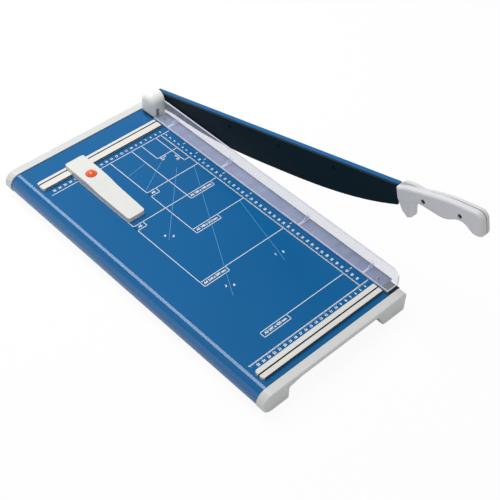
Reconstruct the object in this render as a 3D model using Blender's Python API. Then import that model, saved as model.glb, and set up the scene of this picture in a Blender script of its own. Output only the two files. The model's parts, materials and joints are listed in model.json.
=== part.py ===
# Guillotine paper cutter: sheet steel table, steel bed knife, raised lever with curved blade,
# clear knife guard, back gauge and moulded end caps.
# Metres, +Z up. While modelling, x = 0 is the cutting plane, y = 0 the back stop face and z = 0
# the table top; +X points to the blade side and +Y to the pivot. At the end the whole cutter is
# moved so that the origin lies under its middle, on the surface it stands on.
import math

import bmesh
import bpy
from mathutils import Matrix, Vector

# General clearances and fineness
FIT = 0.0003
OVERRUN = 0.002
TINY_RADIUS = 0.00005
SMOOTH_ANGLE = math.radians(35.0)
CORNER_STEPS = 5
EDGE_STEPS = 3
ROUND_SIDES = 20
SMALL_SIDES = 12
NUT_SIDES = 6
ARCH_STEPS = 8
SHARPEST_SHARE = 0.2
SIDE_SHARE = 0.49

# Table
TABLE_LENGTH = 0.550
TABLE_WIDTH = 0.2855
BACK_MARGIN = 0.0575
SHEET = 0.0015
EDGE_RADIUS = 0.0170
EDGE_LIP = 0.018
SKIRT_SETBACK = 0.0033
SKIRT_DROP = 0.0240

# Bed knife and the bar that carries it
KNIFE_WIDTH = 0.0250
KNIFE_THICKNESS = 0.0040
KNIFE_FRONT_SETBACK = 0.0190
KNIFE_CHAMFER = 0.0005
BEAM_THICKNESS = 0.0080
BEAM_OVERHANG = 0.0050
BEAM_END_SETBACK = 0.0040
KNIFE_SCREW_COUNT = 3
KNIFE_SCREW_END = 0.0450
KNIFE_SCREW_RADIUS = 0.0020
KNIFE_SCREW_BITE = 0.0028
SCREW_HEAD_RADIUS_SHARE = 1.9
SCREW_HEAD_HEIGHT_SHARE = 1.0

# End caps and feet
CAP_DEPTH = 0.0143
CAP_RISE = 0.0012
CAP_PROUD = 0.0015
CAP_RIGHT_SETBACK = 0.0055
CAP_HEIGHT = 0.0347
CAP_EDGE_ROUND = 0.0020
CAP_CORNER = 0.0040
BRIDGE_DEPTH = 0.0085
LEFT_FOOT_WIDTH = 0.0485
LEFT_ARCH_RUN = 0.0240
LEFT_ARCH_DROP = 0.0040
RIGHT_FOOT_WIDTH = 0.0450
RIGHT_ARCH_RUN = 0.0130
ARCH_ROUND = 0.0080
FOOT_ROUND = 0.0030
CAP_BOSS_WIDTH = 0.0120
CAP_BOSS_HEIGHT = 0.0100
PAD_LENGTH = 0.0240
PAD_WIDTH = 0.0095
PAD_THICKNESS = 0.0020
PAD_ROUND = 0.0030
PAD_STEM_RADIUS = 0.0022
PAD_STEM_HEIGHT = 0.0040

# Members under the table
CROSS_SETBACK = 0.0160
CROSS_HEIGHT = 0.0180
CROSS_FLANGE = 0.0120
CROSS_END_GAP = 0.0060
CAP_SCREW_RADIUS = 0.0017
CAP_SCREW_BITE = 0.0100
STIFFENER_WIDTH = 0.0400
STIFFENER_HEIGHT = 0.0110
STIFFENER_BRIM = 0.0090
STIFFENER_SETBACK = 0.2675

# Rails, the stops that paper is squared against
RAIL_LENGTH = 0.2340
RAIL_HEIGHT = 0.0045
RAIL_GAP = 0.0050
RAIL_CORNER = 0.0045
RAIL_EDGE_ROUND = 0.0008
REAR_RAIL_DEPTH = 0.0190
FRONT_RAIL_DEPTH = 0.0180
FRONT_RAIL_SETBACK = 0.0285
GROOVE_WIDTH = 0.0022
GROOVE_DEPTH = 0.0030
REAR_GROOVE_PLACE = 0.0125
FRONT_GROOVE_PLACE = 0.0090
RAIL_SCREW_RADIUS = 0.0014
RAIL_SCREW_BITE = 0.0011
RAIL_SCREW_COUNT = 2
RAIL_SCREW_END = 0.0300
RAIL_SCREW_FACE_GAP = 0.0045

# Back gauge
GAUGE_RIGHT = 0.1740
GAUGE_HEAD_WIDTH = 0.0360
GAUGE_TIP_WIDTH = 0.0310
GAUGE_LENGTH = 0.1380
GAUGE_HEAD_TOP = 0.0120
GAUGE_ARM_TOP = 0.0085
GAUGE_LIFT = 0.0005
GAUGE_ROUND = 0.0015
GAUGE_CORNER = 0.0040
GAUGE_BEND_RADIUS = 0.1380
GAUGE_SLOPE_START = 0.0380
GAUGE_SLOPE_RUN = 0.0300
GUIDE_THICKNESS = 0.0014
GUIDE_REACH = 0.0024
GUIDE_ROOT = 0.0035
GUIDE_END_GAP = 0.0040
BUTTON_RADIUS = 0.0088
BUTTON_PLACE = 0.0250
BUTTON_DOME = 0.0045
BUTTON_PROUD = 0.0006
BUTTON_SKIRT = 0.0060
BUTTON_PLAY = 0.0004
POCKET_FLOOR = 0.0012
SPRING_WIRE = 0.0006
BUTTON_SPRING_RADIUS = 0.0045

# Lever: distances along it are measured from the pivot, drops are square to it
PIVOT_BACK = 0.0370
PIVOT_HEIGHT = 0.0160
LEVER_ANGLE = math.radians(15.53)
SPINE_RISE = 0.0149
LEVER_TAIL = 0.0114
LEVER_END_RADIUS = 0.0130
BLADE_GAP = 0.0003
BLADE_THICKNESS = 0.0035
BLADE_OVERREACH = 0.0015
BLADE_DEPTH = 0.0405
BLADE_BELLY_SHARE = 0.5273
BLADE_FRONT_DROP = 0.0243
BLADE_CURVE_POWER = 2.8
BLADE_BEVEL = 0.0030
BLADE_LAND = 0.0009
BLADE_STEPS = 30
BAR_THICKNESS = 0.0082
BAR_DEPTH = 0.0270
BAR_EDGE_ROUND = 0.0006
BAR_CORNER = 0.0005
BLADE_HEEL = 0.0300
TANG_DEPTH = 0.0130
TANG_RISE = 0.0115
TANG_END_GAP = 0.0180
TANG_THICKNESS = 0.0040
TANG_CORNER = 0.0032
RIVET_PLACES_SHARES = (0.3380, 0.5510, 0.7715)
RIVET_RADIUS = 0.0032
RIVET_DROP = 0.0118
RIVET_RECESS = 0.0004
RIVET_HEAD_RADIUS = 0.0050
RIVET_HEAD_HEIGHT = 0.0022

# Handle
HANDLE_LENGTH = 0.1435
HANDLE_GRIP = 0.0250
HANDLE_HALF = 0.0082
HANDLE_SETBACK = 0.00275
HANDLE_ROUND = 0.0042
HANDLE_STEPS = 8
HANDLE_EDGE_STEPS = 5
HANDLE_GAP = 0.0006
HANDLE_SCREW_SHARES = (0.328, 0.748)
HANDLE_SCREW_DROP = 0.0080
HANDLE_SCREW_RADIUS = 0.0018
HANDLE_SCREW_HEAD_RADIUS = 0.0034
HANDLE_SCREW_HEAD_HEIGHT = 0.0022
HANDLE_SCREW_SINK = 0.0020
HANDLE_SCREW_COVER = 0.0030
TANG_CLEARANCE = 0.0005
# Corners of the grip, seen from the left: share of the length from the front end, share of the
# grip size below the spine line and corner radius as a share of the length.
HANDLE_CORNER_SHARES = (
    (0.000, 0.03, 0.017),
    (0.120, -0.15, 0.348),
    (0.600, -0.41, 1.742),
    (1.000, -0.27, 0.087),
    (1.000, 1.22, 0.063),
    (0.880, 1.19, 0.063),
    (0.757, 0.56, 0.139),
    (0.560, 0.98, 0.244),
    (0.275, 0.62, 0.078),
    (0.182, 0.84, 0.052),
    (0.160, 1.72, 0.017),
    (0.110, 1.84, 0.017),
    (0.045, 1.45, 0.038),
    (0.000, 0.70, 0.070),
)
HANDLE_HUMP_SHARES = (
    (0.000, 0.03, 0.017),
    (0.070, -0.26, 0.052),
    (0.190, -0.26, 0.087),
    (0.290, -0.16, 0.087),
)

# Pivot
BOLT_RADIUS = 0.0050
BOLT_HEAD_RADIUS = 0.0072
BOLT_HEAD_HEIGHT = 0.0028
BOLT_HEAD_COLLAR = 0.0005
NUT_RADIUS = 0.0085
NUT_HEIGHT = 0.0048
BOLT_END = 0.0008
BUSH_WALL = 0.0015
BUSH_FLANGE = 0.0012
BUSH_FLANGE_RADIUS = 0.0090
WASHER_THICKNESS = 0.0014
WASHER_RADIUS = 0.0085
THRUST_THICKNESS = 0.0035
THRUST_RADIUS = 0.0110
DISC_SPRING_HEIGHT = 0.0022
DISC_SPRING_RADIUS = 0.0085
DISC_SPRING_CONE = 0.0006
BRACKET_THICKNESS = 0.0092
BRACKET_RADIUS = 0.0106
BRACKET_ROOT = 0.0005
BRACKET_SCREW_SPREAD = 0.0120
BRACKET_SCREW_RADIUS = 0.0020
BRACKET_SCREW_BITE = 0.0080
CAM_THICKNESS = 0.0050
CAM_RADIUS = 0.0066
CAM_ARM = 0.0080
CAM_NOSE_RADIUS = 0.0025
CAM_DROP_ANGLE = math.radians(30.0)

# Pivot housing
HOUSING_WIDTH = 0.0270
HOUSING_SETBACK = 0.0020
HOUSING_FRONT = 0.0240
HOUSING_TOP = 0.0400
HOUSING_WALL = 0.0018
HOUSING_SIDE_ROUND = 0.0100
DOOR_CLEARANCE = 0.0008
HOUSING_SCREW_RADIUS = 0.0013
HOUSING_SCREW_BITE = 0.0080
HOUSING_BOSS_RADIUS = 0.0030
HOUSING_BOSS_HEIGHT = 0.0110
HOUSING_BOSS_WALL_GAP = 0.0022

# Guard, which also presses the paper down
GUARD_LIFT = 0.0022
GUARD_BASE = 0.0026
GUARD_WALL = 0.0020
GUARD_SETBACK = 0.0034
GUARD_OVERHANG = 0.0017
GUARD_HEIGHT = 0.0280
GUARD_FRONT_GAP = 0.0045
GUARD_REAR_GAP = 0.0012
GUARD_TOP_CORNER = 0.0120
GUARD_REAR_CORNER = 0.0026
GUARD_RIB_THICKNESS = 0.0018
GUARD_RIB_FOOT = 0.0100
GUARD_RIB_RISE = 0.0150
GUARD_RIB_PLACES_SHARES = (0.065, 0.318, 0.651, 0.905)
TAIL_LENGTH = 0.0057
TAIL_ROOT = 0.0040
CAM_GAP = 0.0005
GUARD_RISE = 0.0045
POST_RADIUS = 0.0020
POST_END_GAP = 0.0130
POST_LENGTH = 0.0320
CLIP_RADIUS = 0.0040
CLIP_THICKNESS = 0.0010
CLIP_END_GAP = 0.0020
CLIP_BITE = 0.0006
GUARD_SPRING_RADIUS = 0.0034
GUARD_SPRING_PLAY = 0.0006
GUARD_SPRING_BORE_DEPTH = 0.0020
RUN_PLAY = 0.0004

# Black block that fills the channel in front of the knife
BLOCK_RISE = 0.0002
BLOCK_SETBACK = 0.0048

# Places that follow from the sizes above
TABLE_REAR = BACK_MARGIN
TABLE_FRONT = BACK_MARGIN - TABLE_LENGTH
TABLE_LEFT = -TABLE_WIDTH
KNIFE_LEFT = -KNIFE_WIDTH
KNIFE_FRONT = TABLE_FRONT + KNIFE_FRONT_SETBACK
FRONT_RAIL_FACE = TABLE_FRONT + FRONT_RAIL_SETBACK
STIFFENER_MIDDLE = TABLE_FRONT + STIFFENER_SETBACK
CHANNEL_LEFT = KNIFE_LEFT - FIT
LEDGE_TOP = -KNIFE_THICKNESS - FIT
LEDGE_BOTTOM = LEDGE_TOP - SHEET
SKIRT_RIGHT = -SKIRT_SETBACK
SKIRT_LEFT = SKIRT_RIGHT - SHEET
BEAM_TOP = LEDGE_BOTTOM - FIT
BEAM_BOTTOM = BEAM_TOP - BEAM_THICKNESS
BEAM_RIGHT = SKIRT_LEFT - FIT
BEAM_LEFT = CHANNEL_LEFT - BEAM_OVERHANG
HOUSING_REAR = TABLE_REAR - FIT
KNIFE_REAR = HOUSING_FRONT - FIT
CHANNEL_MIDDLE = (KNIFE_LEFT + SKIRT_LEFT) / 2
CAP_TOP = CAP_RISE
CAP_BOTTOM = CAP_TOP - CAP_HEIGHT
CAP_LEFT = TABLE_LEFT - CAP_PROUD
CAP_RIGHT = -CAP_RIGHT_SETBACK
FRONT_CAP_INNER = TABLE_FRONT - FIT
REAR_CAP_INNER = TABLE_REAR + FIT
RAIL_RIGHT = KNIFE_LEFT - RAIL_GAP
RAIL_LEFT = RAIL_RIGHT - RAIL_LENGTH
RAIL_TOP = FIT + RAIL_HEIGHT
SHEET_UNDERSIDE = -SHEET
CROSS_LEFT = TABLE_LEFT + EDGE_RADIUS + EDGE_LIP + CROSS_END_GAP
CROSS_RIGHT = BEAM_LEFT - CROSS_END_GAP
BOSS_BOTTOM_Z = SHEET_UNDERSIDE - (CROSS_HEIGHT + CAP_BOSS_HEIGHT) / 2
BOSS_TOP_Z = BOSS_BOTTOM_Z + CAP_BOSS_HEIGHT
BOSS_MIDDLE_Z = (BOSS_BOTTOM_Z + BOSS_TOP_Z) / 2
BOSS_XS = (CROSS_LEFT + CAP_BOSS_WIDTH, CROSS_RIGHT - CAP_BOSS_WIDTH)
GUARD_RIGHT = -GUARD_SETBACK
GUARD_LEFT = KNIFE_LEFT - GUARD_OVERHANG
GUARD_FRONT = TABLE_FRONT + GUARD_FRONT_GAP
GUARD_REAR = HOUSING_FRONT - GUARD_REAR_GAP
GUARD_TOP = GUARD_HEIGHT
GUARD_BASE_TOP = GUARD_LIFT + GUARD_BASE
POST_YS = (KNIFE_FRONT + POST_END_GAP, GUARD_REAR - POST_END_GAP)
BLADE_LENGTH = PIVOT_BACK - KNIFE_FRONT + BLADE_OVERREACH
BLADE_BELLY = BLADE_LENGTH * BLADE_BELLY_SHARE
BLADE_LEFT = BLADE_GAP
BLADE_RIGHT = BLADE_LEFT + BLADE_THICKNESS
BAR_LEFT = BLADE_RIGHT + FIT
BAR_RIGHT = BAR_LEFT + BAR_THICKNESS
HANDLE_LEFT = -HANDLE_SETBACK
HANDLE_MIDDLE = HANDLE_LEFT + HANDLE_HALF + FIT / 2
HANDLE_RIGHT = HANDLE_MIDDLE + FIT / 2 + HANDLE_HALF
TANG_RIGHT = BAR_LEFT + TANG_THICKNESS
HANDLE_START = BLADE_LENGTH + HANDLE_GAP
HANDLE_END = HANDLE_START + HANDLE_LENGTH
THRUST_RIGHT = BLADE_LEFT - FIT
THRUST_LEFT = THRUST_RIGHT - THRUST_THICKNESS
BUSH_RIGHT = THRUST_LEFT - FIT
BRACKET_RIGHT = BUSH_RIGHT - BUSH_FLANGE - FIT
BRACKET_LEFT = BRACKET_RIGHT - BRACKET_THICKNESS
CAM_RIGHT = BRACKET_LEFT - FIT
CAM_LEFT = CAM_RIGHT - CAM_THICKNESS
NUT_RIGHT = CAM_LEFT - FIT
NUT_LEFT = NUT_RIGHT - NUT_HEIGHT
DISC_LEFT = BAR_RIGHT + FIT
DISC_RIGHT = DISC_LEFT + DISC_SPRING_HEIGHT
WASHER_LEFT = DISC_RIGHT + FIT
WASHER_RIGHT = WASHER_LEFT + WASHER_THICKNESS
BOLT_HEAD_LEFT = WASHER_RIGHT + FIT
BOLT_HEAD_RIGHT = BOLT_HEAD_LEFT + BOLT_HEAD_HEIGHT
BUSH_OUTER = BOLT_RADIUS + FIT + BUSH_WALL
HOUSING_RIGHT = -HOUSING_SETBACK
HOUSING_LEFT = HOUSING_RIGHT - HOUSING_WIDTH
HOUSING_BOTTOM = FIT
GAUGE_MIDDLE = -GAUGE_RIGHT - GAUGE_HEAD_WIDTH / 2
GAUGE_HEAD_BOTTOM = RAIL_TOP + GAUGE_LIFT
GAUGE_BACK = REAR_RAIL_DEPTH + FIT
POCKET_RADIUS = BUTTON_RADIUS + BUTTON_PLAY
POCKET_BOTTOM = GAUGE_LIFT + POCKET_FLOOR
GUIDE_TOP = GAUGE_HEAD_BOTTOM + GUIDE_ROOT
DESK = CAP_BOTTOM - FIT - PAD_THICKNESS
KNIFE_SCREW_TIP = KNIFE_SCREW_BITE - KNIFE_THICKNESS
BRACKET_MIDDLE = (BRACKET_LEFT + BRACKET_RIGHT) / 2
BRACKET_SCREW_TIP = LEDGE_TOP + BRACKET_SCREW_BITE
HOUSING_BOSS_X = HOUSING_LEFT + HOUSING_WALL + HOUSING_BOSS_WALL_GAP + HOUSING_BOSS_RADIUS
HOUSING_BOSS_Y = HOUSING_REAR - HOUSING_WALL - HOUSING_BOSS_WALL_GAP - HOUSING_BOSS_RADIUS
TAIL_LEFT = CAM_LEFT
TAIL_RIGHT = CAM_RIGHT
TAIL_END = GUARD_REAR + TAIL_LENGTH
NOSE_DROP = CAM_ARM * math.sin(CAM_DROP_ANGLE - LEVER_ANGLE)
TAIL_TOP = PIVOT_HEIGHT - NOSE_DROP - CAM_NOSE_RADIUS - CAM_GAP
POST_BOTTOM = GUARD_BASE_TOP - POST_LENGTH
# The two ends: name, inner face of the cap and the direction away from the table
TABLE_ENDS = (("front", FRONT_CAP_INNER, -1), ("rear", REAR_CAP_INNER, 1))
# Screw rows of the two rails, each between the rail's paper edge and its groove
FRONT_SCREW_Y = FRONT_RAIL_FACE - RAIL_SCREW_FACE_GAP
REAR_SCREW_Y = RAIL_SCREW_FACE_GAP


def clear_scene():
    for old in list(bpy.data.objects):
        bpy.data.objects.remove(old, do_unlink=True)


def material(name, colour, roughness, metallic, alpha=1.0):
    found = bpy.data.materials.get(name)
    if found:
        return found
    made = bpy.data.materials.new(name)
    made.use_nodes = True
    shader = made.node_tree.nodes["Principled BSDF"]
    shader.inputs["Base Color"].default_value = (*colour, 1.0)
    shader.inputs["Roughness"].default_value = roughness
    shader.inputs["Metallic"].default_value = metallic
    shader.inputs["Alpha"].default_value = alpha
    made.diffuse_color = (*colour, alpha)
    return made


def blue_enamel():
    return material("blue_enamel", (0.008, 0.135, 0.34), 0.38, 0.0)


def dark_blade_steel():
    return material("dark_blade_steel", (0.010, 0.016, 0.022), 0.36, 0.6)


def bright_steel():
    return material("bright_steel", (0.55, 0.56, 0.58), 0.32, 1.0)


def plated_steel():
    return material("plated_steel", (0.42, 0.43, 0.44), 0.42, 1.0)


def light_grey_plastic():
    return material("light_grey_plastic", (0.52, 0.54, 0.54), 0.50, 0.0)


def off_white_plastic():
    return material("off_white_plastic", (0.74, 0.75, 0.70), 0.45, 0.0)


def clear_plastic():
    return material("clear_plastic", (0.80, 0.82, 0.90), 0.08, 0.0, 0.35)


def orange_plastic():
    return material("orange_plastic", (0.80, 0.085, 0.022), 0.30, 0.0)


def black_rubber():
    return material("black_rubber", (0.018, 0.018, 0.020), 0.75, 0.0)


def black_plastic():
    return material("black_plastic", (0.015, 0.015, 0.017), 0.45, 0.0)


def bronze():
    return material("bronze", (0.50, 0.30, 0.12), 0.40, 1.0)


def empty(name, place, parent=None):
    made = bpy.data.objects.new(name, None)
    made.location = place
    made.parent = parent
    bpy.context.scene.collection.objects.link(made)
    return made


def add_object(name, mesh, look, parent):
    made = bpy.data.objects.new(name, mesh)
    made.parent = parent
    bpy.context.scene.collection.objects.link(made)
    if look:
        mesh.materials.append(look)
    return made


def finish_mesh(name, bm):
    bmesh.ops.recalc_face_normals(bm, faces=bm.faces)
    mesh = bpy.data.meshes.new(name)
    bm.to_mesh(mesh)
    bm.free()
    mesh.shade_smooth()
    mesh.set_sharp_from_angle(angle=SMOOTH_ANGLE)
    return mesh


def axis_frame(axis):
    # Turns local (first, second, along) into world axes: outlines on YZ run along X, outlines on
    # XZ run along Y and outlines on XY run along Z.
    if axis == "X":
        return Matrix(((0, 0, 1, 0), (1, 0, 0, 0), (0, 1, 0, 0), (0, 0, 0, 1)))
    if axis == "Y":
        return Matrix(((1, 0, 0, 0), (0, 0, 1, 0), (0, 1, 0, 0), (0, 0, 0, 1)))
    return Matrix.Identity(4)


def turn_side(before, corner, after):
    first = corner - before
    second = after - corner
    return first.x * second.y - first.y * second.x


def outline_area(corners):
    total = 0.0
    for index, (x, y, _) in enumerate(corners):
        next_x, next_y, _ = corners[(index + 1) % len(corners)]
        total += x * next_y - next_x * y
    return total / 2


def counter_clockwise(corners):
    if outline_area(corners) < 0:
        return list(reversed(corners))
    return list(corners)


def inset_corner(before, corner, after, inset):
    # Meeting point of the two sides of a corner after both have moved inwards.
    first = (corner - before).normalized()
    second = (after - corner).normalized()
    first_normal = Vector((-first.y, first.x))
    second_normal = Vector((-second.y, second.x))
    total = first_normal + second_normal
    return corner + total * (inset / max(total.dot(first_normal), SHARPEST_SHARE))


def fillet_outline(corners, inset=0.0, steps=CORNER_STEPS):
    # Corners are (x, y, radius), counter-clockwise. A rounded corner gives steps + 1 points.
    count = len(corners)
    points = [Vector(corner[:2]) for corner in corners]
    moved = []
    for index in range(count):
        moved.append(inset_corner(points[index - 1], points[index], points[(index + 1) % count], inset))
    outline = []
    for index in range(count):
        before = moved[index - 1]
        corner = moved[index]
        after = moved[(index + 1) % count]
        convex = turn_side(before, corner, after) > 0
        radius = corners[index][2]
        if convex and radius <= 0:
            outline.append(corner)
            continue
        radius = max(radius - inset, TINY_RADIUS) if convex else radius + inset
        to_before = (before - corner).normalized()
        to_after = (after - corner).normalized()
        half = math.acos(max(-1.0, min(1.0, to_before.dot(to_after)))) / 2
        reach = radius / math.tan(half)
        longest = min((before - corner).length, (after - corner).length) * SIDE_SHARE
        if reach > longest:
            reach = longest
            radius = reach * math.tan(half)
        centre = corner + (to_before + to_after).normalized() * (radius / math.sin(half))
        start = corner + to_before * reach - centre
        end = corner + to_after * reach - centre
        sweep = start.angle_signed(end)
        for step in range(steps + 1):
            turned = start.copy()
            turned.rotate(Matrix.Rotation(-sweep * step / steps, 2))
            outline.append(centre + turned)
    return outline


def bridge(bm, first, second):
    count = len(first)
    for index in range(count):
        after = (index + 1) % count
        bm.faces.new((first[index], first[after], second[after], second[index]))


def loft(name, rings, look=None, parent=None):
    # Rings are equal-length lists of 3D points; the two end rings are closed by flat faces.
    bm = bmesh.new()
    made = [[bm.verts.new(point) for point in ring] for ring in rings]
    for first, second in zip(made, made[1:]):
        bridge(bm, first, second)
    bm.faces.new(list(reversed(made[0])))
    bm.faces.new(made[-1])
    return add_object(name, finish_mesh(name, bm), look, parent)


def soft_prism(name, corners, axis, start, end, look=None, parent=None, start_round=0.0,
               end_round=0.0, steps=CORNER_STEPS, edge_steps=EDGE_STEPS):
    # Rounded outline pulled along an axis, with a quarter-round edge at either end.
    frame = axis_frame(axis)
    corners = counter_clockwise(corners)
    stations = []
    for step in range(edge_steps if start_round > 0 else 0):
        angle = math.pi / 2 * step / edge_steps
        stations.append((start + start_round * (1 - math.cos(angle)), start_round * (1 - math.sin(angle))))
    stations.append((start + start_round, 0.0))
    stations.append((end - end_round, 0.0))
    for step in range(1, edge_steps + 1 if end_round > 0 else 1):
        angle = math.pi / 2 * step / edge_steps
        stations.append((end - end_round * (1 - math.sin(angle)), end_round * (1 - math.cos(angle))))
    rings = []
    for along, inset in stations:
        ring = fillet_outline(corners, inset, steps)
        rings.append([frame @ Vector((point.x, point.y, along)) for point in ring])
    return loft(name, rings, look, parent)


def prism(name, points, axis, start, end, look=None, parent=None):
    frame = axis_frame(axis)
    rings = []
    for along in (start, end):
        rings.append([frame @ Vector((x, y, along)) for x, y in points])
    return loft(name, rings, look, parent)


def block(name, low, high, look=None, parent=None):
    corners = [(low[0], low[1]), (high[0], low[1]), (high[0], high[1]), (low[0], high[1])]
    return prism(name, corners, "Z", low[2], high[2], look, parent)


def circle_points(radius, sides, phase=0.0):
    step = 2 * math.pi / sides
    return [(radius * math.cos(phase + step * turn), radius * math.sin(phase + step * turn))
            for turn in range(sides)]


def turned(name, profile, axis, place, look=None, parent=None, sides=ROUND_SIDES):
    # Closed profile of (radius, along) points turned about an axis through place. Points on the
    # axis itself become one vertex.
    frame = Matrix.Translation(place) @ axis_frame(axis)
    bm = bmesh.new()
    rings = []
    for radius, along in profile:
        if radius <= 0:
            rings.append([bm.verts.new(frame @ Vector((0, 0, along)))])
        else:
            ring = [bm.verts.new(frame @ Vector((x, y, along))) for x, y in circle_points(radius, sides)]
            rings.append(ring)
    for index, ring in enumerate(rings):
        after = rings[(index + 1) % len(rings)]
        if len(ring) == 1 and len(after) == 1:
            continue
        if len(ring) == 1:
            for turn in range(sides):
                bm.faces.new((ring[0], after[turn], after[(turn + 1) % sides]))
        elif len(after) == 1:
            for turn in range(sides):
                bm.faces.new((ring[turn], after[0], ring[(turn + 1) % sides]))
        else:
            bridge(bm, ring, after)
    return add_object(name, finish_mesh(name, bm), look, parent)


def rod(name, radius, axis, place, start, end, look=None, parent=None, sides=ROUND_SIDES):
    profile = [(0, start), (radius, start), (radius, end), (0, end)]
    return turned(name, profile, axis, place, look, parent, sides)


def ring_profile(inner, outer, start, end):
    return [(inner, start), (outer, start), (outer, end), (inner, end)]


def screw_profile(radius, head_start, shank_end, head_radius, head_height):
    # Head first: it reaches from head_start by head_height, the shank goes on to shank_end.
    direction = 1 if shank_end > head_start else -1
    head_end = head_start + direction * head_height
    return [(0, head_start), (head_radius, head_start), (head_radius, head_end),
            (radius, head_end), (radius, shank_end), (0, shank_end)]


def combine(target, tool, operation):
    # The tool stays in the scene as a hidden wire guide.
    tool.hide_render = True
    tool.display_type = "WIRE"
    modifier = target.modifiers.new(operation.lower(), "BOOLEAN")
    modifier.operation = operation
    modifier.object = tool
    modifier.solver = "EXACT"
    return target


def cut(target, tool):
    return combine(target, tool, "DIFFERENCE")


def add(target, tool):
    return combine(target, tool, "UNION")


def merge_solids(name, solids, look, parent):
    # Separate solids kept as one group in one object.
    bm = bmesh.new()
    for solid in solids:
        bm.from_mesh(solid.data)
        bpy.data.objects.remove(solid, do_unlink=True)
    return add_object(name, finish_mesh(name, bm), look, parent)


def spread(count, start, end):
    if count < 2:
        return [(start + end) / 2]
    return [start + (end - start) * index / (count - 1) for index in range(count)]


def knife_screw_ys():
    return spread(KNIFE_SCREW_COUNT, KNIFE_FRONT + KNIFE_SCREW_END, KNIFE_REAR - KNIFE_SCREW_END)


def rail_screw_xs():
    return spread(RAIL_SCREW_COUNT, RAIL_LEFT + RAIL_SCREW_END, RAIL_RIGHT - RAIL_SCREW_END)


def table_outline():
    # The sheet seen from the front: rolled left edge, flat top, knife ledge and right skirt.
    outline = [(TABLE_LEFT + EDGE_RADIUS + EDGE_LIP, -2 * EDGE_RADIUS)]
    centre_x = TABLE_LEFT + EDGE_RADIUS
    edge_turns = 2 * CORNER_STEPS + 2
    for step in range(edge_turns + 1):
        angle = -math.pi / 2 - math.pi * step / edge_turns
        outline.append((centre_x + EDGE_RADIUS * math.cos(angle), EDGE_RADIUS * (math.sin(angle) - 1)))
    outline.append((CHANNEL_LEFT, 0))
    outline.append((CHANNEL_LEFT, LEDGE_TOP))
    outline.append((SKIRT_RIGHT, LEDGE_TOP))
    outline.append((SKIRT_RIGHT, LEDGE_BOTTOM - SKIRT_DROP))
    outline.append((SKIRT_LEFT, LEDGE_BOTTOM - SKIRT_DROP))
    outline.append((SKIRT_LEFT, LEDGE_BOTTOM))
    outline.append((CHANNEL_LEFT - SHEET, LEDGE_BOTTOM))
    outline.append((CHANNEL_LEFT - SHEET, SHEET_UNDERSIDE))
    inner = EDGE_RADIUS - SHEET
    for step in range(edge_turns + 1):
        angle = math.pi / 2 + math.pi * step / edge_turns
        outline.append((centre_x + inner * math.cos(angle), -EDGE_RADIUS + inner * math.sin(angle)))
    outline.append((TABLE_LEFT + EDGE_RADIUS + EDGE_LIP, SHEET - 2 * EDGE_RADIUS))
    return outline



def bracket_screw_ys():
    return (PIVOT_BACK - BRACKET_SCREW_SPREAD / 2, PIVOT_BACK + BRACKET_SCREW_SPREAD / 2)


def through_hole(radius, x, y, low, high):
    return rod("hole", radius, "Z", (x, y, 0), low - OVERRUN, high + OVERRUN, sides=SMALL_SIDES)


def channel_holes(low, high):
    # Everything that passes down through the knife channel of the table and the bar below it.
    holes = [through_hole(KNIFE_SCREW_RADIUS + FIT, CHANNEL_MIDDLE, y, low, high) for y in knife_screw_ys()]
    holes += [through_hole(POST_RADIUS + RUN_PLAY, CHANNEL_MIDDLE, y, low, high) for y in POST_YS]
    holes += [through_hole(BRACKET_SCREW_RADIUS + FIT, BRACKET_MIDDLE, y, low, high)
              for y in bracket_screw_ys()]
    holes.append(through_hole(HOUSING_SCREW_RADIUS + FIT, HOUSING_BOSS_X, HOUSING_BOSS_Y, low, high))
    return holes


def make_table(root):
    table = prism("table_plate", table_outline(), "Y", TABLE_FRONT, TABLE_REAR, blue_enamel(), root)
    holes = channel_holes(LEDGE_BOTTOM, LEDGE_TOP)
    for y in (FRONT_SCREW_Y, REAR_SCREW_Y):
        holes += [through_hole(RAIL_SCREW_RADIUS + FIT, x, y, SHEET_UNDERSIDE, 0) for x in rail_screw_xs()]
    cut(table, merge_solids("table_holes", holes, None, root))


def make_knife(root):
    outline = [(KNIFE_LEFT, -KNIFE_THICKNESS), (0, -KNIFE_THICKNESS), (0, 0),
               (KNIFE_LEFT + KNIFE_CHAMFER, 0), (KNIFE_LEFT, -KNIFE_CHAMFER)]
    knife = prism("bed_knife", outline, "Y", KNIFE_FRONT, KNIFE_REAR, bright_steel(), root)
    holes = []
    for y in knife_screw_ys():
        holes.append(rod("hole", KNIFE_SCREW_RADIUS + FIT, "Z", (CHANNEL_MIDDLE, y, 0),
                         -KNIFE_THICKNESS - OVERRUN, KNIFE_SCREW_TIP + FIT, sides=SMALL_SIDES))
    for y in POST_YS:
        profile = [(0, -KNIFE_THICKNESS - OVERRUN), (POST_RADIUS + RUN_PLAY, -KNIFE_THICKNESS - OVERRUN),
                   (POST_RADIUS + RUN_PLAY, -GUARD_SPRING_BORE_DEPTH),
                   (GUARD_SPRING_RADIUS + GUARD_SPRING_PLAY, -GUARD_SPRING_BORE_DEPTH),
                   (GUARD_SPRING_RADIUS + GUARD_SPRING_PLAY, OVERRUN), (0, OVERRUN)]
        holes.append(turned("hole", profile, "Z", (CHANNEL_MIDDLE, y, 0), sides=SMALL_SIDES))
    cut(knife, merge_solids("knife_holes", holes, None, root))


def make_knife_beam(root):
    beam = block("knife_beam", (BEAM_LEFT, TABLE_FRONT + BEAM_END_SETBACK, BEAM_BOTTOM),
                 (BEAM_RIGHT, TABLE_REAR - BEAM_END_SETBACK, BEAM_TOP), plated_steel(), root)
    cut(beam, merge_solids("beam_holes", channel_holes(BEAM_BOTTOM, BEAM_TOP), None, root))


def copies(name, profile, axis, places, look, parent, sides=SMALL_SIDES):
    # The same turned piece at each place, numbered from 1.
    for index, place in enumerate(places):
        turned(name + "_" + str(index + 1), profile, axis, place, look, parent, sides)


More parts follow.
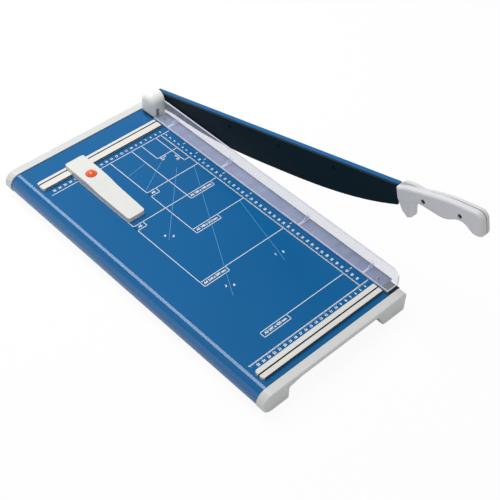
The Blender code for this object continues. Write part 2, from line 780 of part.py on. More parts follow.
def upward_screws(name, radius, places, seat, tip, root):
    # Screws driven from below: the head lies under the seat, the shank ends at the tip.
    head_height = radius * SCREW_HEAD_HEIGHT_SHARE
    profile = screw_profile(radius, seat - FIT - head_height, tip, radius * SCREW_HEAD_RADIUS_SHARE,
                            head_height)
    copies(name, profile, "Z", [(x, y, 0) for x, y in places], plated_steel(), root)


def make_knife_screws(root):
    places = [(CHANNEL_MIDDLE, y) for y in knife_screw_ys()]
    upward_screws("bed_knife_screw", KNIFE_SCREW_RADIUS, places, BEAM_BOTTOM, KNIFE_SCREW_TIP, root)


def make_front_block(root):
    block("front_guide_block", (KNIFE_LEFT, TABLE_FRONT + FIT, LEDGE_TOP + FIT),
          (-BLOCK_SETBACK, KNIFE_FRONT - FIT, BLOCK_RISE), black_plastic(), root)


def cap_corners():
    # The cap seen from the front: half-round left end, two feet and the arch between them.
    half_round = CAP_HEIGHT / 2
    bridge_bottom = CAP_TOP - BRIDGE_DEPTH
    left_foot_right = CAP_LEFT + LEFT_FOOT_WIDTH
    right_foot_left = CAP_RIGHT - RIGHT_FOOT_WIDTH
    return [
        (CAP_LEFT, CAP_BOTTOM, half_round),
        (left_foot_right, CAP_BOTTOM, FOOT_ROUND),
        (left_foot_right, bridge_bottom - LEFT_ARCH_DROP, FOOT_ROUND),
        (left_foot_right + LEFT_ARCH_RUN, bridge_bottom, ARCH_ROUND),
        (right_foot_left - RIGHT_ARCH_RUN, bridge_bottom, ARCH_ROUND),
        (right_foot_left, CAP_BOTTOM, 2 * FOOT_ROUND),
        (CAP_RIGHT, CAP_BOTTOM, CAP_CORNER),
        (CAP_RIGHT, CAP_TOP, CAP_CORNER),
        (CAP_LEFT, CAP_TOP, half_round),
    ]


def foot_xs():
    left_end = CAP_LEFT + CAP_HEIGHT / 2 - PAD_ROUND
    return ((left_end + CAP_LEFT + LEFT_FOOT_WIDTH) / 2, CAP_RIGHT - RIGHT_FOOT_WIDTH / 2)


def make_cap(root, name, inner, outward):
    # The two caps mirror each other: outward is -1 at the front and 1 at the rear.
    outer = inner + outward * CAP_DEPTH
    low, high = sorted((inner, outer))
    start_round = CAP_EDGE_ROUND if outward < 0 else 0.0
    end_round = CAP_EDGE_ROUND if outward > 0 else 0.0
    cap = soft_prism(name, cap_corners(), "Y", low, high, light_grey_plastic(), root,
                     start_round, end_round)
    web = cross_web_face(outward)
    bosses = []
    holes = []
    for x in BOSS_XS:
        ends = sorted((web + outward * FIT, inner + outward * CAP_DEPTH / 2))
        bosses.append(block("boss", (x - CAP_BOSS_WIDTH / 2, ends[0], BOSS_BOTTOM_Z),
                            (x + CAP_BOSS_WIDTH / 2, ends[1], BOSS_TOP_Z)))
        ends = sorted((web - outward * OVERRUN, web + outward * (CAP_SCREW_BITE + FIT)))
        holes.append(rod("hole", CAP_SCREW_RADIUS + FIT, "Y", (x, 0, BOSS_MIDDLE_Z), ends[0], ends[1],
                         sides=SMALL_SIDES))
    for x in foot_xs():
        holes.append(rod("hole", PAD_STEM_RADIUS + FIT, "Z", (x, (inner + outer) / 2, 0),
                         CAP_BOTTOM - OVERRUN, CAP_BOTTOM + PAD_STEM_HEIGHT + FIT, sides=SMALL_SIDES))
    add(cap, merge_solids(name + "_bosses", bosses, None, root))
    cut(cap, merge_solids(name + "_holes", holes, None, root))


def cross_web_face(outward):
    # The side of the cross member's web that the cap's bosses meet.
    return TABLE_FRONT + CROSS_SETBACK if outward < 0 else TABLE_REAR - CROSS_SETBACK


def make_cross_member(root, name, outward):
    web = cross_web_face(outward)
    inner = web - outward * SHEET
    top = SHEET_UNDERSIDE - FIT
    outline = [(web, top - CROSS_HEIGHT), (inner, top - CROSS_HEIGHT), (inner, top),
               (web + outward * CROSS_FLANGE, top), (web + outward * CROSS_FLANGE, top - SHEET),
               (web, top - SHEET)]
    member = prism(name, outline, "X", CROSS_LEFT, CROSS_RIGHT, plated_steel(), root)
    low, high = sorted((web, inner))
    holes = [rod("hole", CAP_SCREW_RADIUS + FIT, "Y", (x, 0, BOSS_MIDDLE_Z), low - OVERRUN, high + OVERRUN,
                 sides=SMALL_SIDES) for x in BOSS_XS]
    cut(member, merge_solids(name + "_holes", holes, None, root))


def make_cap_screws(root, name, outward):
    web = cross_web_face(outward)
    head_height = CAP_SCREW_RADIUS * SCREW_HEAD_HEIGHT_SHARE
    head_start = web - outward * (SHEET + FIT + head_height)
    profile = screw_profile(CAP_SCREW_RADIUS, head_start, web + outward * CAP_SCREW_BITE,
                            CAP_SCREW_RADIUS * SCREW_HEAD_RADIUS_SHARE, head_height)
    copies(name, profile, "Y", [(x, 0, BOSS_MIDDLE_Z) for x in BOSS_XS], plated_steel(), root)


def make_foot(root, name, x, y):
    half_length = PAD_LENGTH / 2
    half_width = PAD_WIDTH / 2
    corners = [(x - half_length, y - half_width, PAD_ROUND), (x + half_length, y - half_width, PAD_ROUND),
               (x + half_length, y + half_width, PAD_ROUND), (x - half_length, y + half_width, PAD_ROUND)]
    foot = soft_prism(name, corners, "Z", DESK, DESK + PAD_THICKNESS, black_rubber(), root)
    add(foot, rod(name + "_stem", PAD_STEM_RADIUS, "Z", (x, y, 0), DESK + PAD_THICKNESS / 2,
                  CAP_BOTTOM + PAD_STEM_HEIGHT, None, root, SMALL_SIDES))


def make_feet(root):
    for side, inner, outward in TABLE_ENDS:
        for end, x in zip(("left", "right"), foot_xs()):
            make_foot(root, "rubber_foot_" + side + "_" + end, x, inner + outward * CAP_DEPTH / 2)


def make_stiffener(root):
    top = SHEET_UNDERSIDE - FIT
    half = STIFFENER_WIDTH / 2
    front = STIFFENER_MIDDLE - half
    back = STIFFENER_MIDDLE + half
    bottom = top - STIFFENER_HEIGHT
    outline = [(front - STIFFENER_BRIM, top), (front - STIFFENER_BRIM, top - SHEET), (front, top - SHEET),
               (front, bottom), (back, bottom), (back, top - SHEET), (back + STIFFENER_BRIM, top - SHEET),
               (back + STIFFENER_BRIM, top), (back - SHEET, top), (back - SHEET, bottom + SHEET),
               (front + SHEET, bottom + SHEET), (front + SHEET, top)]
    prism("table_stiffener", outline, "X", CROSS_LEFT, CROSS_RIGHT, plated_steel(), root)


def make_rail(root, name, face, outward, depth, groove_place, screw_y):
    # face is the edge that paper meets, outward points away from the paper.
    low, high = sorted((face, face + outward * depth))
    corners = [(RAIL_LEFT, low, RAIL_CORNER), (RAIL_RIGHT, low, RAIL_EDGE_ROUND),
               (RAIL_RIGHT, high, RAIL_EDGE_ROUND), (RAIL_LEFT, high, RAIL_CORNER)]
    rail = soft_prism(name, corners, "Z", FIT, RAIL_TOP, off_white_plastic(), root, 0.0, RAIL_EDGE_ROUND)
    groove = face + outward * groove_place
    tools = [block("groove", (RAIL_LEFT - OVERRUN, groove - GROOVE_WIDTH / 2, RAIL_TOP - GROOVE_DEPTH),
                   (RAIL_RIGHT + OVERRUN, groove + GROOVE_WIDTH / 2, RAIL_TOP + OVERRUN))]
    for x in rail_screw_xs():
        tools.append(rod("hole", RAIL_SCREW_RADIUS + FIT, "Z", (x, screw_y, 0), FIT - OVERRUN,
                         FIT + RAIL_SCREW_BITE + FIT, sides=SMALL_SIDES))
    cut(rail, merge_solids(name + "_cuts", tools, None, root))


def make_rails(root):
    make_rail(root, "rear_rail", 0, 1, REAR_RAIL_DEPTH, REAR_GROOVE_PLACE, REAR_SCREW_Y)
    make_rail(root, "front_rail", FRONT_RAIL_FACE, -1, FRONT_RAIL_DEPTH, FRONT_GROOVE_PLACE, FRONT_SCREW_Y)
    for name, y in (("rear_rail_screw", REAR_SCREW_Y), ("front_rail_screw", FRONT_SCREW_Y)):
        places = [(x, y) for x in rail_screw_xs()]
        upward_screws(name, RAIL_SCREW_RADIUS, places, SHEET_UNDERSIDE, FIT + RAIL_SCREW_BITE, root)


def make_gauge(slide):
    # Everything here is measured from the gauge's own middle line.
    head_half = GAUGE_HEAD_WIDTH / 2
    corners = [(head_half, GAUGE_BACK, GAUGE_CORNER), (-head_half, GAUGE_BACK, GAUGE_CORNER),
               (-head_half, -GAUGE_LENGTH, GAUGE_CORNER),
               (GAUGE_TIP_WIDTH - head_half, -GAUGE_LENGTH, GAUGE_CORNER),
               (head_half, -BUTTON_PLACE, GAUGE_BEND_RADIUS)]
    arm = soft_prism("back_gauge_arm", corners, "Z", GAUGE_LIFT, GAUGE_HEAD_TOP, light_grey_plastic(), slide,
                     0.0, GAUGE_ROUND)
    wide = GAUGE_HEAD_WIDTH
    slope_end = -GAUGE_SLOPE_START - GAUGE_SLOPE_RUN
    channel = [(-FIT, GAUGE_LIFT - OVERRUN), (GAUGE_BACK + OVERRUN, GAUGE_LIFT - OVERRUN),
               (GAUGE_BACK + OVERRUN, GAUGE_HEAD_BOTTOM), (-FIT, GAUGE_HEAD_BOTTOM)]
    slope = [(-GAUGE_SLOPE_START, GAUGE_HEAD_TOP), (-GAUGE_SLOPE_START, GAUGE_HEAD_TOP + OVERRUN),
             (-GAUGE_LENGTH - OVERRUN, GAUGE_HEAD_TOP + OVERRUN), (-GAUGE_LENGTH - OVERRUN, GAUGE_ARM_TOP),
             (slope_end, GAUGE_ARM_TOP)]
    slot = [(REAR_GROOVE_PLACE - GUIDE_THICKNESS / 2 - FIT, GAUGE_HEAD_BOTTOM - OVERRUN),
            (REAR_GROOVE_PLACE + GUIDE_THICKNESS / 2 + FIT, GAUGE_HEAD_BOTTOM - OVERRUN),
            (REAR_GROOVE_PLACE + GUIDE_THICKNESS / 2 + FIT, GUIDE_TOP + FIT),
            (REAR_GROOVE_PLACE - GUIDE_THICKNESS / 2 - FIT, GUIDE_TOP + FIT)]
    slot_half = head_half - GUIDE_END_GAP + FIT
    cut(arm, prism("gauge_channel", channel, "X", -wide, wide, None, slide))
    cut(arm, prism("gauge_slope", slope, "X", -wide, wide, None, slide))
    cut(arm, prism("gauge_slot", slot, "X", -slot_half, slot_half, None, slide))
    cut(arm, rod("gauge_pocket", POCKET_RADIUS, "Z", (0, -BUTTON_PLACE, 0), POCKET_BOTTOM,
                 GAUGE_HEAD_TOP + OVERRUN, None, slide))


def make_gauge_guide(slide):
    half = GAUGE_HEAD_WIDTH / 2 - GUIDE_END_GAP
    block("gauge_guide", (-half, REAR_GROOVE_PLACE - GUIDE_THICKNESS / 2, RAIL_TOP - GUIDE_REACH),
          (half, REAR_GROOVE_PLACE + GUIDE_THICKNESS / 2, GUIDE_TOP), bright_steel(), slide)


def make_button(slide):
    # Modelled about its own axis, with z = 0 on the top of the gauge's head.
    profile = [(0, -BUTTON_SKIRT), (BUTTON_RADIUS, -BUTTON_SKIRT), (BUTTON_RADIUS, BUTTON_PROUD)]
    top = BUTTON_PROUD + BUTTON_DOME
    sphere = (BUTTON_RADIUS ** 2 + BUTTON_DOME ** 2) / (2 * BUTTON_DOME)
    sweep = math.asin(BUTTON_RADIUS / sphere)
    steps = 2 * EDGE_STEPS
    for step in range(1, steps):
        angle = sweep * (1 - step / steps)
        profile.append((sphere * math.sin(angle), top + sphere * (math.cos(angle) - 1)))
    profile.append((0, top))
    turned("gauge_button", profile, "Z", (0, 0, 0), orange_plastic(), slide)


def make_button_spring(slide):
    low = POCKET_BOTTOM + FIT
    high = GAUGE_HEAD_TOP - BUTTON_SKIRT - FIT
    profile = ring_profile(BUTTON_SPRING_RADIUS - SPRING_WIRE, BUTTON_SPRING_RADIUS + SPRING_WIRE, low, high)
    turned("gauge_button_spring", profile, "Z", (0, -BUTTON_PLACE, 0), bright_steel(), slide)


def lever_point(along, drop):
    # From lever sizes to the lever's own frame: forward is -Y, down is -Z.
    return (-along, -drop)


def lever_corners(corners):
    return [(*lever_point(along, drop), radius) for along, drop, radius in corners]


def blade_edge_drop(along):
    reach = BLADE_LENGTH - BLADE_BELLY
    return BLADE_DEPTH - BLADE_FRONT_DROP * (abs(along - BLADE_BELLY) / reach) ** BLADE_CURVE_POWER


def blade_points(bevel):
    points = [lever_point(-LEVER_TAIL, -SPINE_RISE)]
    turns = 2 * CORNER_STEPS
    for step in range(turns + 1):
        angle = math.pi / 2 * step / turns
        points.append(lever_point(-LEVER_END_RADIUS * math.cos(angle), LEVER_END_RADIUS * math.sin(angle)))
    for step in range(BLADE_STEPS + 1):
        along = BLADE_HEEL + (BLADE_LENGTH - BLADE_HEEL) * step / BLADE_STEPS
        points.append(lever_point(along, blade_edge_drop(along) - bevel))
    points.append(lever_point(BLADE_LENGTH, -SPINE_RISE))
    return points


def make_blade(lever):
    # The edge lies on the left face; the bevel behind it is ground on the right one.
    frame = axis_frame("X")
    rings = []
    for along, bevel in ((BLADE_LEFT, 0), (BLADE_LEFT + BLADE_LAND, 0), (BLADE_RIGHT, BLADE_BEVEL)):
        rings.append([frame @ Vector((y, z, along)) for y, z in blade_points(bevel)])
    blade = loft("upper_blade", rings, dark_blade_steel(), lever)
    holes = [rod("hole", BOLT_RADIUS + FIT, "X", (0, 0, 0), BLADE_LEFT - OVERRUN, BLADE_RIGHT + OVERRUN)]
    holes += rivet_holes(BLADE_LEFT, BLADE_RIGHT)
    cut(blade, merge_solids("blade_holes", holes, None, lever))


def rivet_places():
    return [lever_point(share * BLADE_LENGTH, RIVET_DROP - SPINE_RISE) for share in RIVET_PLACES_SHARES]


def rivet_holes(left, right):
    return [rod("hole", RIVET_RADIUS + FIT, "X", (0, y, z), left - OVERRUN, right + OVERRUN,
                sides=SMALL_SIDES) for y, z in rivet_places()]


def handle_screw_places():
    return [lever_point(HANDLE_START + share * HANDLE_LENGTH, HANDLE_SCREW_DROP - SPINE_RISE)
            for share in HANDLE_SCREW_SHARES]


def handle_screw_holes(left, right):
    return [rod("hole", HANDLE_SCREW_RADIUS + FIT, "X", (0, y, z), left - OVERRUN, right + OVERRUN,
                sides=SMALL_SIDES) for y, z in handle_screw_places()]


def bar_corners():
    # The bar behind the blade, narrowed to a tang where the handle starts.
    return [
        (-LEVER_TAIL, -SPINE_RISE, 0),
        (-LEVER_END_RADIUS, BAR_DEPTH - SPINE_RISE, LEVER_END_RADIUS),
        (BLADE_LENGTH, BAR_DEPTH - SPINE_RISE, BAR_CORNER),
        (BLADE_LENGTH, TANG_DEPTH - TANG_RISE, BAR_CORNER),
        (HANDLE_END - TANG_END_GAP, TANG_DEPTH - TANG_RISE, TANG_CORNER),
        (HANDLE_END - TANG_END_GAP, -TANG_RISE, TANG_CORNER),
        (BLADE_LENGTH, -TANG_RISE, BAR_CORNER),
        (BLADE_LENGTH, -SPINE_RISE, BAR_CORNER),
    ]


def make_lever_bar(lever):
    bar = soft_prism("lever_bar", lever_corners(bar_corners()), "X", BAR_LEFT, BAR_RIGHT, blue_enamel(),
                     lever, BAR_EDGE_ROUND, BAR_EDGE_ROUND, edge_steps=1)
    shoulder_y, top_z = lever_point(BLADE_LENGTH - FIT, -SPINE_RISE - OVERRUN)
    end_y, bottom_z = lever_point(HANDLE_END, BAR_DEPTH)
    cut(bar, block("tang_shoulder", (TANG_RIGHT, end_y, bottom_z), (BAR_RIGHT + OVERRUN, shoulder_y, top_z),
                   None, lever))
    holes = [rod("hole", BOLT_RADIUS + FIT, "X", (0, 0, 0), BAR_LEFT - OVERRUN, BAR_RIGHT + OVERRUN)]
    holes += rivet_holes(BAR_LEFT, BAR_RIGHT)
    holes += handle_screw_holes(BAR_LEFT, BAR_RIGHT)
    cut(bar, merge_solids("bar_holes", holes, None, lever))


def make_rivets(lever):
    # Flush on the cutting side, with round heads on the outer side of the bar.
    left = BLADE_LEFT + RIVET_RECESS
    seat = BAR_RIGHT + FIT
    profile = [(0, left), (RIVET_RADIUS, left), (RIVET_RADIUS, seat), (RIVET_HEAD_RADIUS, seat),
               (RIVET_HEAD_RADIUS, seat + RIVET_HEAD_HEIGHT / 2),
               (RIVET_HEAD_RADIUS / 2, seat + RIVET_HEAD_HEIGHT), (0, seat + RIVET_HEAD_HEIGHT)]
    copies("blade_rivet", profile, "X", [(0, y, z) for y, z in rivet_places()], dark_blade_steel(), lever)


def handle_corners(shares):
    return [(HANDLE_START + share * HANDLE_LENGTH, drop * HANDLE_GRIP - SPINE_RISE, radius * HANDLE_LENGTH)
            for share, drop, radius in shares]


def tang_tool(lever, name, left, right):
    corners = [
        (BLADE_LENGTH - OVERRUN, TANG_DEPTH - TANG_RISE + TANG_CLEARANCE, 0),
        (HANDLE_END - TANG_END_GAP + TANG_CLEARANCE, TANG_DEPTH - TANG_RISE + TANG_CLEARANCE, TANG_CORNER),
        (HANDLE_END - TANG_END_GAP + TANG_CLEARANCE, -TANG_RISE - TANG_CLEARANCE, TANG_CORNER),
        (BLADE_LENGTH - OVERRUN, -TANG_RISE - TANG_CLEARANCE, 0),
    ]
    return soft_prism(name, lever_corners(corners), "X", left, right, None, lever)


def make_handle_half(lever, name, shares, left, right, outward):
    low, high = sorted((left, right))
    start_round = HANDLE_ROUND if outward < 0 else 0.0
    end_round = HANDLE_ROUND if outward > 0 else 0.0
    half = soft_prism(name, lever_corners(handle_corners(shares)), "X", low, high, light_grey_plastic(),
                      lever, start_round, end_round, HANDLE_STEPS, HANDLE_EDGE_STEPS)
    cut(half, tang_tool(lever, name + "_tang_room", BAR_LEFT - FIT, TANG_RIGHT + FIT))
    return half


def make_handle(lever):
    humped = HANDLE_HUMP_SHARES + HANDLE_CORNER_SHARES[2:]
    left = make_handle_half(lever, "handle_left", HANDLE_CORNER_SHARES, HANDLE_LEFT,
                            HANDLE_MIDDLE - FIT / 2, -1)
    right = make_handle_half(lever, "handle_right", humped, HANDLE_MIDDLE + FIT / 2, HANDLE_RIGHT, 1)
    head_seat = HANDLE_LEFT + HANDLE_SCREW_SINK + HANDLE_SCREW_HEAD_HEIGHT
    tip = HANDLE_RIGHT - HANDLE_SCREW_COVER
    left_holes = handle_screw_holes(HANDLE_LEFT, HANDLE_MIDDLE)
    left_holes += [rod("hole", HANDLE_SCREW_HEAD_RADIUS + FIT, "X", (0, y, z), HANDLE_LEFT - OVERRUN,
                       head_seat + FIT, sides=SMALL_SIDES) for y, z in handle_screw_places()]
    right_holes = [rod("hole", HANDLE_SCREW_RADIUS + FIT, "X", (0, y, z), HANDLE_MIDDLE - OVERRUN, tip + FIT,
                       sides=SMALL_SIDES) for y, z in handle_screw_places()]
    cut_each(left, "handle_left", left_holes, lever)
    cut_each(right, "handle_right", right_holes, lever)
    profile = screw_profile(HANDLE_SCREW_RADIUS, head_seat - HANDLE_SCREW_HEAD_HEIGHT, tip,
                            HANDLE_SCREW_HEAD_RADIUS, HANDLE_SCREW_HEAD_HEIGHT)
    places = [(0, y, z) for y, z in handle_screw_places()]
    copies("handle_screw", profile, "X", places, black_plastic(), lever)


def cut_each(target, name, holes, parent):
    # Holes that overlap each other are cut one after the other.
    for index, hole in enumerate(holes):
        hole.name = name + "_hole_" + str(index)
        hole.parent = parent
        cut(target, hole)


def make_bolt(lever):
    profile = screw_profile(BOLT_RADIUS, BOLT_HEAD_RIGHT, NUT_LEFT - BOLT_END, BOLT_HEAD_RADIUS,
                            BOLT_HEAD_HEIGHT)
    bolt = turned("pivot_bolt", profile, "X", (0, 0, 0), plated_steel(), lever)
    flats = rod("pivot_bolt_flats", BOLT_HEAD_RADIUS, "X", (0, 0, 0), BOLT_HEAD_LEFT + BOLT_HEAD_COLLAR,
                BOLT_HEAD_RIGHT + OVERRUN, None, lever, NUT_SIDES)
    shank = rod("pivot_bolt_shank", BOLT_HEAD_RADIUS + OVERRUN, "X", (0, 0, 0), NUT_LEFT - BOLT_END - OVERRUN,
                BOLT_HEAD_LEFT + BOLT_HEAD_COLLAR, None, lever)
    add(flats, shank)
    combine(bolt, flats, "INTERSECT")


def make_pivot_stack(root, lever):
    centre = (0, 0, 0)
    nut = rod("pivot_locknut", NUT_RADIUS, "X", centre, NUT_LEFT, NUT_RIGHT, plated_steel(), lever, NUT_SIDES)
    cut(nut, rod("locknut_bore", BOLT_RADIUS + FIT, "X", centre, NUT_LEFT - OVERRUN, NUT_RIGHT + OVERRUN,
                 None, lever))
    washer = ring_profile(BOLT_RADIUS + FIT, WASHER_RADIUS, WASHER_LEFT, WASHER_RIGHT)
    turned("pivot_washer", washer, "X", centre, plated_steel(), lever)
    half = DISC_SPRING_HEIGHT / 2 - DISC_SPRING_CONE
    disc = [(BOLT_RADIUS + FIT, DISC_LEFT), (DISC_SPRING_RADIUS, DISC_LEFT + DISC_SPRING_CONE),
            (DISC_SPRING_RADIUS, DISC_LEFT + DISC_SPRING_CONE + 2 * half), (BOLT_RADIUS + FIT, DISC_RIGHT)]
    turned("pivot_disc_spring", disc, "X", centre, bright_steel(), lever)
    pivot = (0, PIVOT_BACK, PIVOT_HEIGHT)
    thrust = ring_profile(BOLT_RADIUS + FIT, THRUST_RADIUS, THRUST_LEFT, THRUST_RIGHT)
    turned("thrust_washer", thrust, "X", pivot, bronze(), root)
    flange_left = BUSH_RIGHT - BUSH_FLANGE
    bush = [(BOLT_RADIUS + FIT, BRACKET_LEFT), (BUSH_OUTER, BRACKET_LEFT), (BUSH_OUTER, flange_left),
            (BUSH_FLANGE_RADIUS, flange_left), (BUSH_FLANGE_RADIUS, BUSH_RIGHT),
            (BOLT_RADIUS + FIT, BUSH_RIGHT)]
    turned("pivot_bushing", bush, "X", pivot, bronze(), root)


def make_bracket(root):
    base_bottom = LEDGE_TOP + FIT
    bracket = block("pivot_bracket", (KNIFE_LEFT, HOUSING_FRONT + FIT, base_bottom),
                    (SKIRT_RIGHT, TABLE_REAR - FIT, 0), plated_steel(), root)
    corners = [(PIVOT_BACK - BRACKET_RADIUS, base_bottom + BRACKET_ROOT, 0),
               (PIVOT_BACK + BRACKET_RADIUS, base_bottom + BRACKET_ROOT, 0),
               (PIVOT_BACK + BRACKET_RADIUS, PIVOT_HEIGHT + BRACKET_RADIUS, BRACKET_RADIUS),
               (PIVOT_BACK - BRACKET_RADIUS, PIVOT_HEIGHT + BRACKET_RADIUS, BRACKET_RADIUS)]
    add(bracket, soft_prism("bracket_upright", corners, "X", BRACKET_LEFT, BRACKET_RIGHT, None, root))
    holes = [rod("hole", BUSH_OUTER + FIT, "X", (0, PIVOT_BACK, PIVOT_HEIGHT), BRACKET_LEFT - OVERRUN,
                 BRACKET_RIGHT + OVERRUN)]
    for y in bracket_screw_ys():
        holes.append(rod("hole", BRACKET_SCREW_RADIUS + FIT, "Z", (BRACKET_MIDDLE, y, 0),
                         base_bottom - OVERRUN, BRACKET_SCREW_TIP + FIT, sides=SMALL_SIDES))
    holes.append(rod("hole", HOUSING_SCREW_RADIUS + FIT, "Z", (HOUSING_BOSS_X, HOUSING_BOSS_Y, 0),
                     base_bottom - OVERRUN, OVERRUN, sides=SMALL_SIDES))
    cut(bracket, merge_solids("bracket_holes", holes, None, root))
    places = [(BRACKET_MIDDLE, y) for y in bracket_screw_ys()]
    upward_screws("bracket_screw", BRACKET_SCREW_RADIUS, places, BEAM_BOTTOM, BRACKET_SCREW_TIP, root)


def make_cam(lever):
    # Two circles joined by their common tangents; the nose points forward and down.
    spread_angle = math.acos((CAM_RADIUS - CAM_NOSE_RADIUS) / CAM_ARM)
    nose = math.pi + CAM_DROP_ANGLE
    points = []
    for step in range(ROUND_SIDES + 1):
        angle = nose + spread_angle + (2 * math.pi - 2 * spread_angle) * step / ROUND_SIDES
        points.append((CAM_RADIUS * math.cos(angle), CAM_RADIUS * math.sin(angle)))
    for step in range(SMALL_SIDES + 1):
        angle = nose - spread_angle + 2 * spread_angle * step / SMALL_SIDES
        points.append((CAM_ARM * math.cos(nose) + CAM_NOSE_RADIUS * math.cos(angle),
                       CAM_ARM * math.sin(nose) + CAM_NOSE_RADIUS * math.sin(angle)))
    cam = prism("clamp_cam", points, "X", CAM_LEFT, CAM_RIGHT, plated_steel(), lever)
    cut(cam, rod("cam_bore", BOLT_RADIUS + FIT, "X", (0, 0, 0), CAM_LEFT - OVERRUN, CAM_RIGHT + OVERRUN,
                 None, lever))


def housing_corners():
    arch = (HOUSING_REAR - HOUSING_FRONT) / 2
    return [(HOUSING_FRONT, HOUSING_BOTTOM, 0), (HOUSING_REAR, HOUSING_BOTTOM, 0),
            (HOUSING_REAR, HOUSING_TOP, arch), (HOUSING_FRONT, HOUSING_TOP, arch)]


def make_housing(root):
    housing = soft_prism("pivot_housing", housing_corners(), "X", HOUSING_LEFT, HOUSING_RIGHT,
                         off_white_plastic(), root, HOUSING_SIDE_ROUND, 0.0, ARCH_STEPS, ARCH_STEPS // 2)
    wall = HOUSING_WALL
    below = HOUSING_BOTTOM - OVERRUN
    arch = (HOUSING_REAR - HOUSING_FRONT) / 2 - wall
    corners = [(HOUSING_FRONT + wall, below, 0), (HOUSING_REAR - wall, below, 0),
               (HOUSING_REAR - wall, HOUSING_TOP - wall, arch),
               (HOUSING_FRONT + wall, HOUSING_TOP - wall, arch)]
    hollow = soft_prism("housing_hollow", corners, "X", HOUSING_LEFT + wall, HOUSING_RIGHT + OVERRUN, None,
                        root, HOUSING_SIDE_ROUND - wall, 0.0, ARCH_STEPS, ARCH_STEPS // 2)
    cut(housing, hollow)
    # Doorway that the guard's tail passes through, high enough for the raised guard
    door = block("housing_tail_door", (TAIL_LEFT - DOOR_CLEARANCE, HOUSING_FRONT - OVERRUN, below),
                 (TAIL_RIGHT + DOOR_CLEARANCE, HOUSING_FRONT + wall + OVERRUN,
                  TAIL_TOP + GUARD_RISE + DOOR_CLEARANCE), None, root)
    cut(housing, door)
    boss = rod("housing_boss", HOUSING_BOSS_RADIUS, "Z", (HOUSING_BOSS_X, HOUSING_BOSS_Y, 0),
               HOUSING_BOTTOM, HOUSING_BOSS_HEIGHT, None, root, SMALL_SIDES)
    web = block("housing_boss_web", (HOUSING_BOSS_X - wall / 2, HOUSING_BOSS_Y, HOUSING_BOTTOM),
                (HOUSING_BOSS_X + wall / 2, HOUSING_REAR - wall / 2, HOUSING_BOSS_HEIGHT), None, root)
    add(boss, web)
    add(housing, boss)
    drill = rod("housing_screw_hole", HOUSING_SCREW_RADIUS + FIT, "Z", (HOUSING_BOSS_X, HOUSING_BOSS_Y, 0),
                HOUSING_BOTTOM - OVERRUN, HOUSING_SCREW_BITE + FIT, None, root, SMALL_SIDES)
    cut(housing, drill)
    upward_screws("housing_screw", HOUSING_SCREW_RADIUS, [(HOUSING_BOSS_X, HOUSING_BOSS_Y)], BEAM_BOTTOM,
                  HOUSING_SCREW_BITE, root)


def make_guard(slide):
    base = block("blade_guard", (GUARD_LEFT, GUARD_FRONT, GUARD_LIFT),
                 (GUARD_RIGHT, GUARD_REAR, GUARD_BASE_TOP), clear_plastic(), slide)
    root_z = GUARD_LIFT + GUARD_BASE / 2
    corners = [(GUARD_FRONT, root_z, 0), (GUARD_REAR, root_z, 0),
               (GUARD_REAR, GUARD_TOP, GUARD_REAR_CORNER), (GUARD_FRONT, GUARD_TOP, GUARD_TOP_CORNER)]
    add(base, soft_prism("guard_wall", corners, "X", GUARD_RIGHT - GUARD_WALL, GUARD_RIGHT, None, slide))
    wall_left = GUARD_RIGHT - GUARD_WALL
    rib_foot = wall_left - GUARD_RIB_FOOT
    ribs = []
    for share in GUARD_RIB_PLACES_SHARES:
        y = GUARD_REAR + (GUARD_FRONT - GUARD_REAR) * share
        outline = [(wall_left + GUARD_WALL / 2, root_z), (rib_foot, root_z), (rib_foot, GUARD_BASE_TOP),
                   (wall_left, GUARD_BASE_TOP + GUARD_RIB_RISE),
                   (wall_left + GUARD_WALL / 2, GUARD_BASE_TOP + GUARD_RIB_RISE)]
        ribs.append(prism("rib", outline, "Y", y - GUARD_RIB_THICKNESS / 2, y + GUARD_RIB_THICKNESS / 2))
    add(base, merge_solids("guard_ribs", ribs, None, slide))
    tail = [(GUARD_REAR - TAIL_ROOT, GUARD_LIFT), (TAIL_END, GUARD_LIFT), (TAIL_END, TAIL_TOP),
            (GUARD_REAR, TAIL_TOP), (GUARD_REAR - TAIL_ROOT, GUARD_BASE_TOP)]
    add(base, prism("guard_tail", tail, "X", TAIL_LEFT, TAIL_RIGHT, None, slide))
    holes = [rod("hole", POST_RADIUS + FIT, "Z", (CHANNEL_MIDDLE, y, 0), GUARD_LIFT - OVERRUN,
                 GUARD_BASE_TOP + OVERRUN, sides=SMALL_SIDES) for y in POST_YS]
    cut(base, merge_solids("guard_holes", holes, None, slide))


def make_guard_posts(slide, root):
    # Each post has a groove near its foot where the clip sits.
    groove_low = POST_BOTTOM + CLIP_END_GAP
    groove_high = groove_low + CLIP_THICKNESS + 2 * FIT
    core = POST_RADIUS - CLIP_BITE
    profile = [(0, POST_BOTTOM), (POST_RADIUS, POST_BOTTOM), (POST_RADIUS, groove_low),
               (core, groove_low), (core, groove_high), (POST_RADIUS, groove_high),
               (POST_RADIUS, GUARD_BASE_TOP), (0, GUARD_BASE_TOP)]
    clip = ring_profile(core + FIT, CLIP_RADIUS, groove_low + FIT, groove_high - FIT)
    spring = ring_profile(GUARD_SPRING_RADIUS - SPRING_WIRE, GUARD_SPRING_RADIUS,
                          FIT - GUARD_SPRING_BORE_DEPTH, GUARD_LIFT - FIT)
    places = [(CHANNEL_MIDDLE, y, 0) for y in POST_YS]
    copies("guard_post", profile, "Z", places, bright_steel(), slide)
    copies("guard_post_clip", clip, "Z", places, plated_steel(), slide)
    copies("guard_spring", spring, "Z", places, bright_steel(), root)


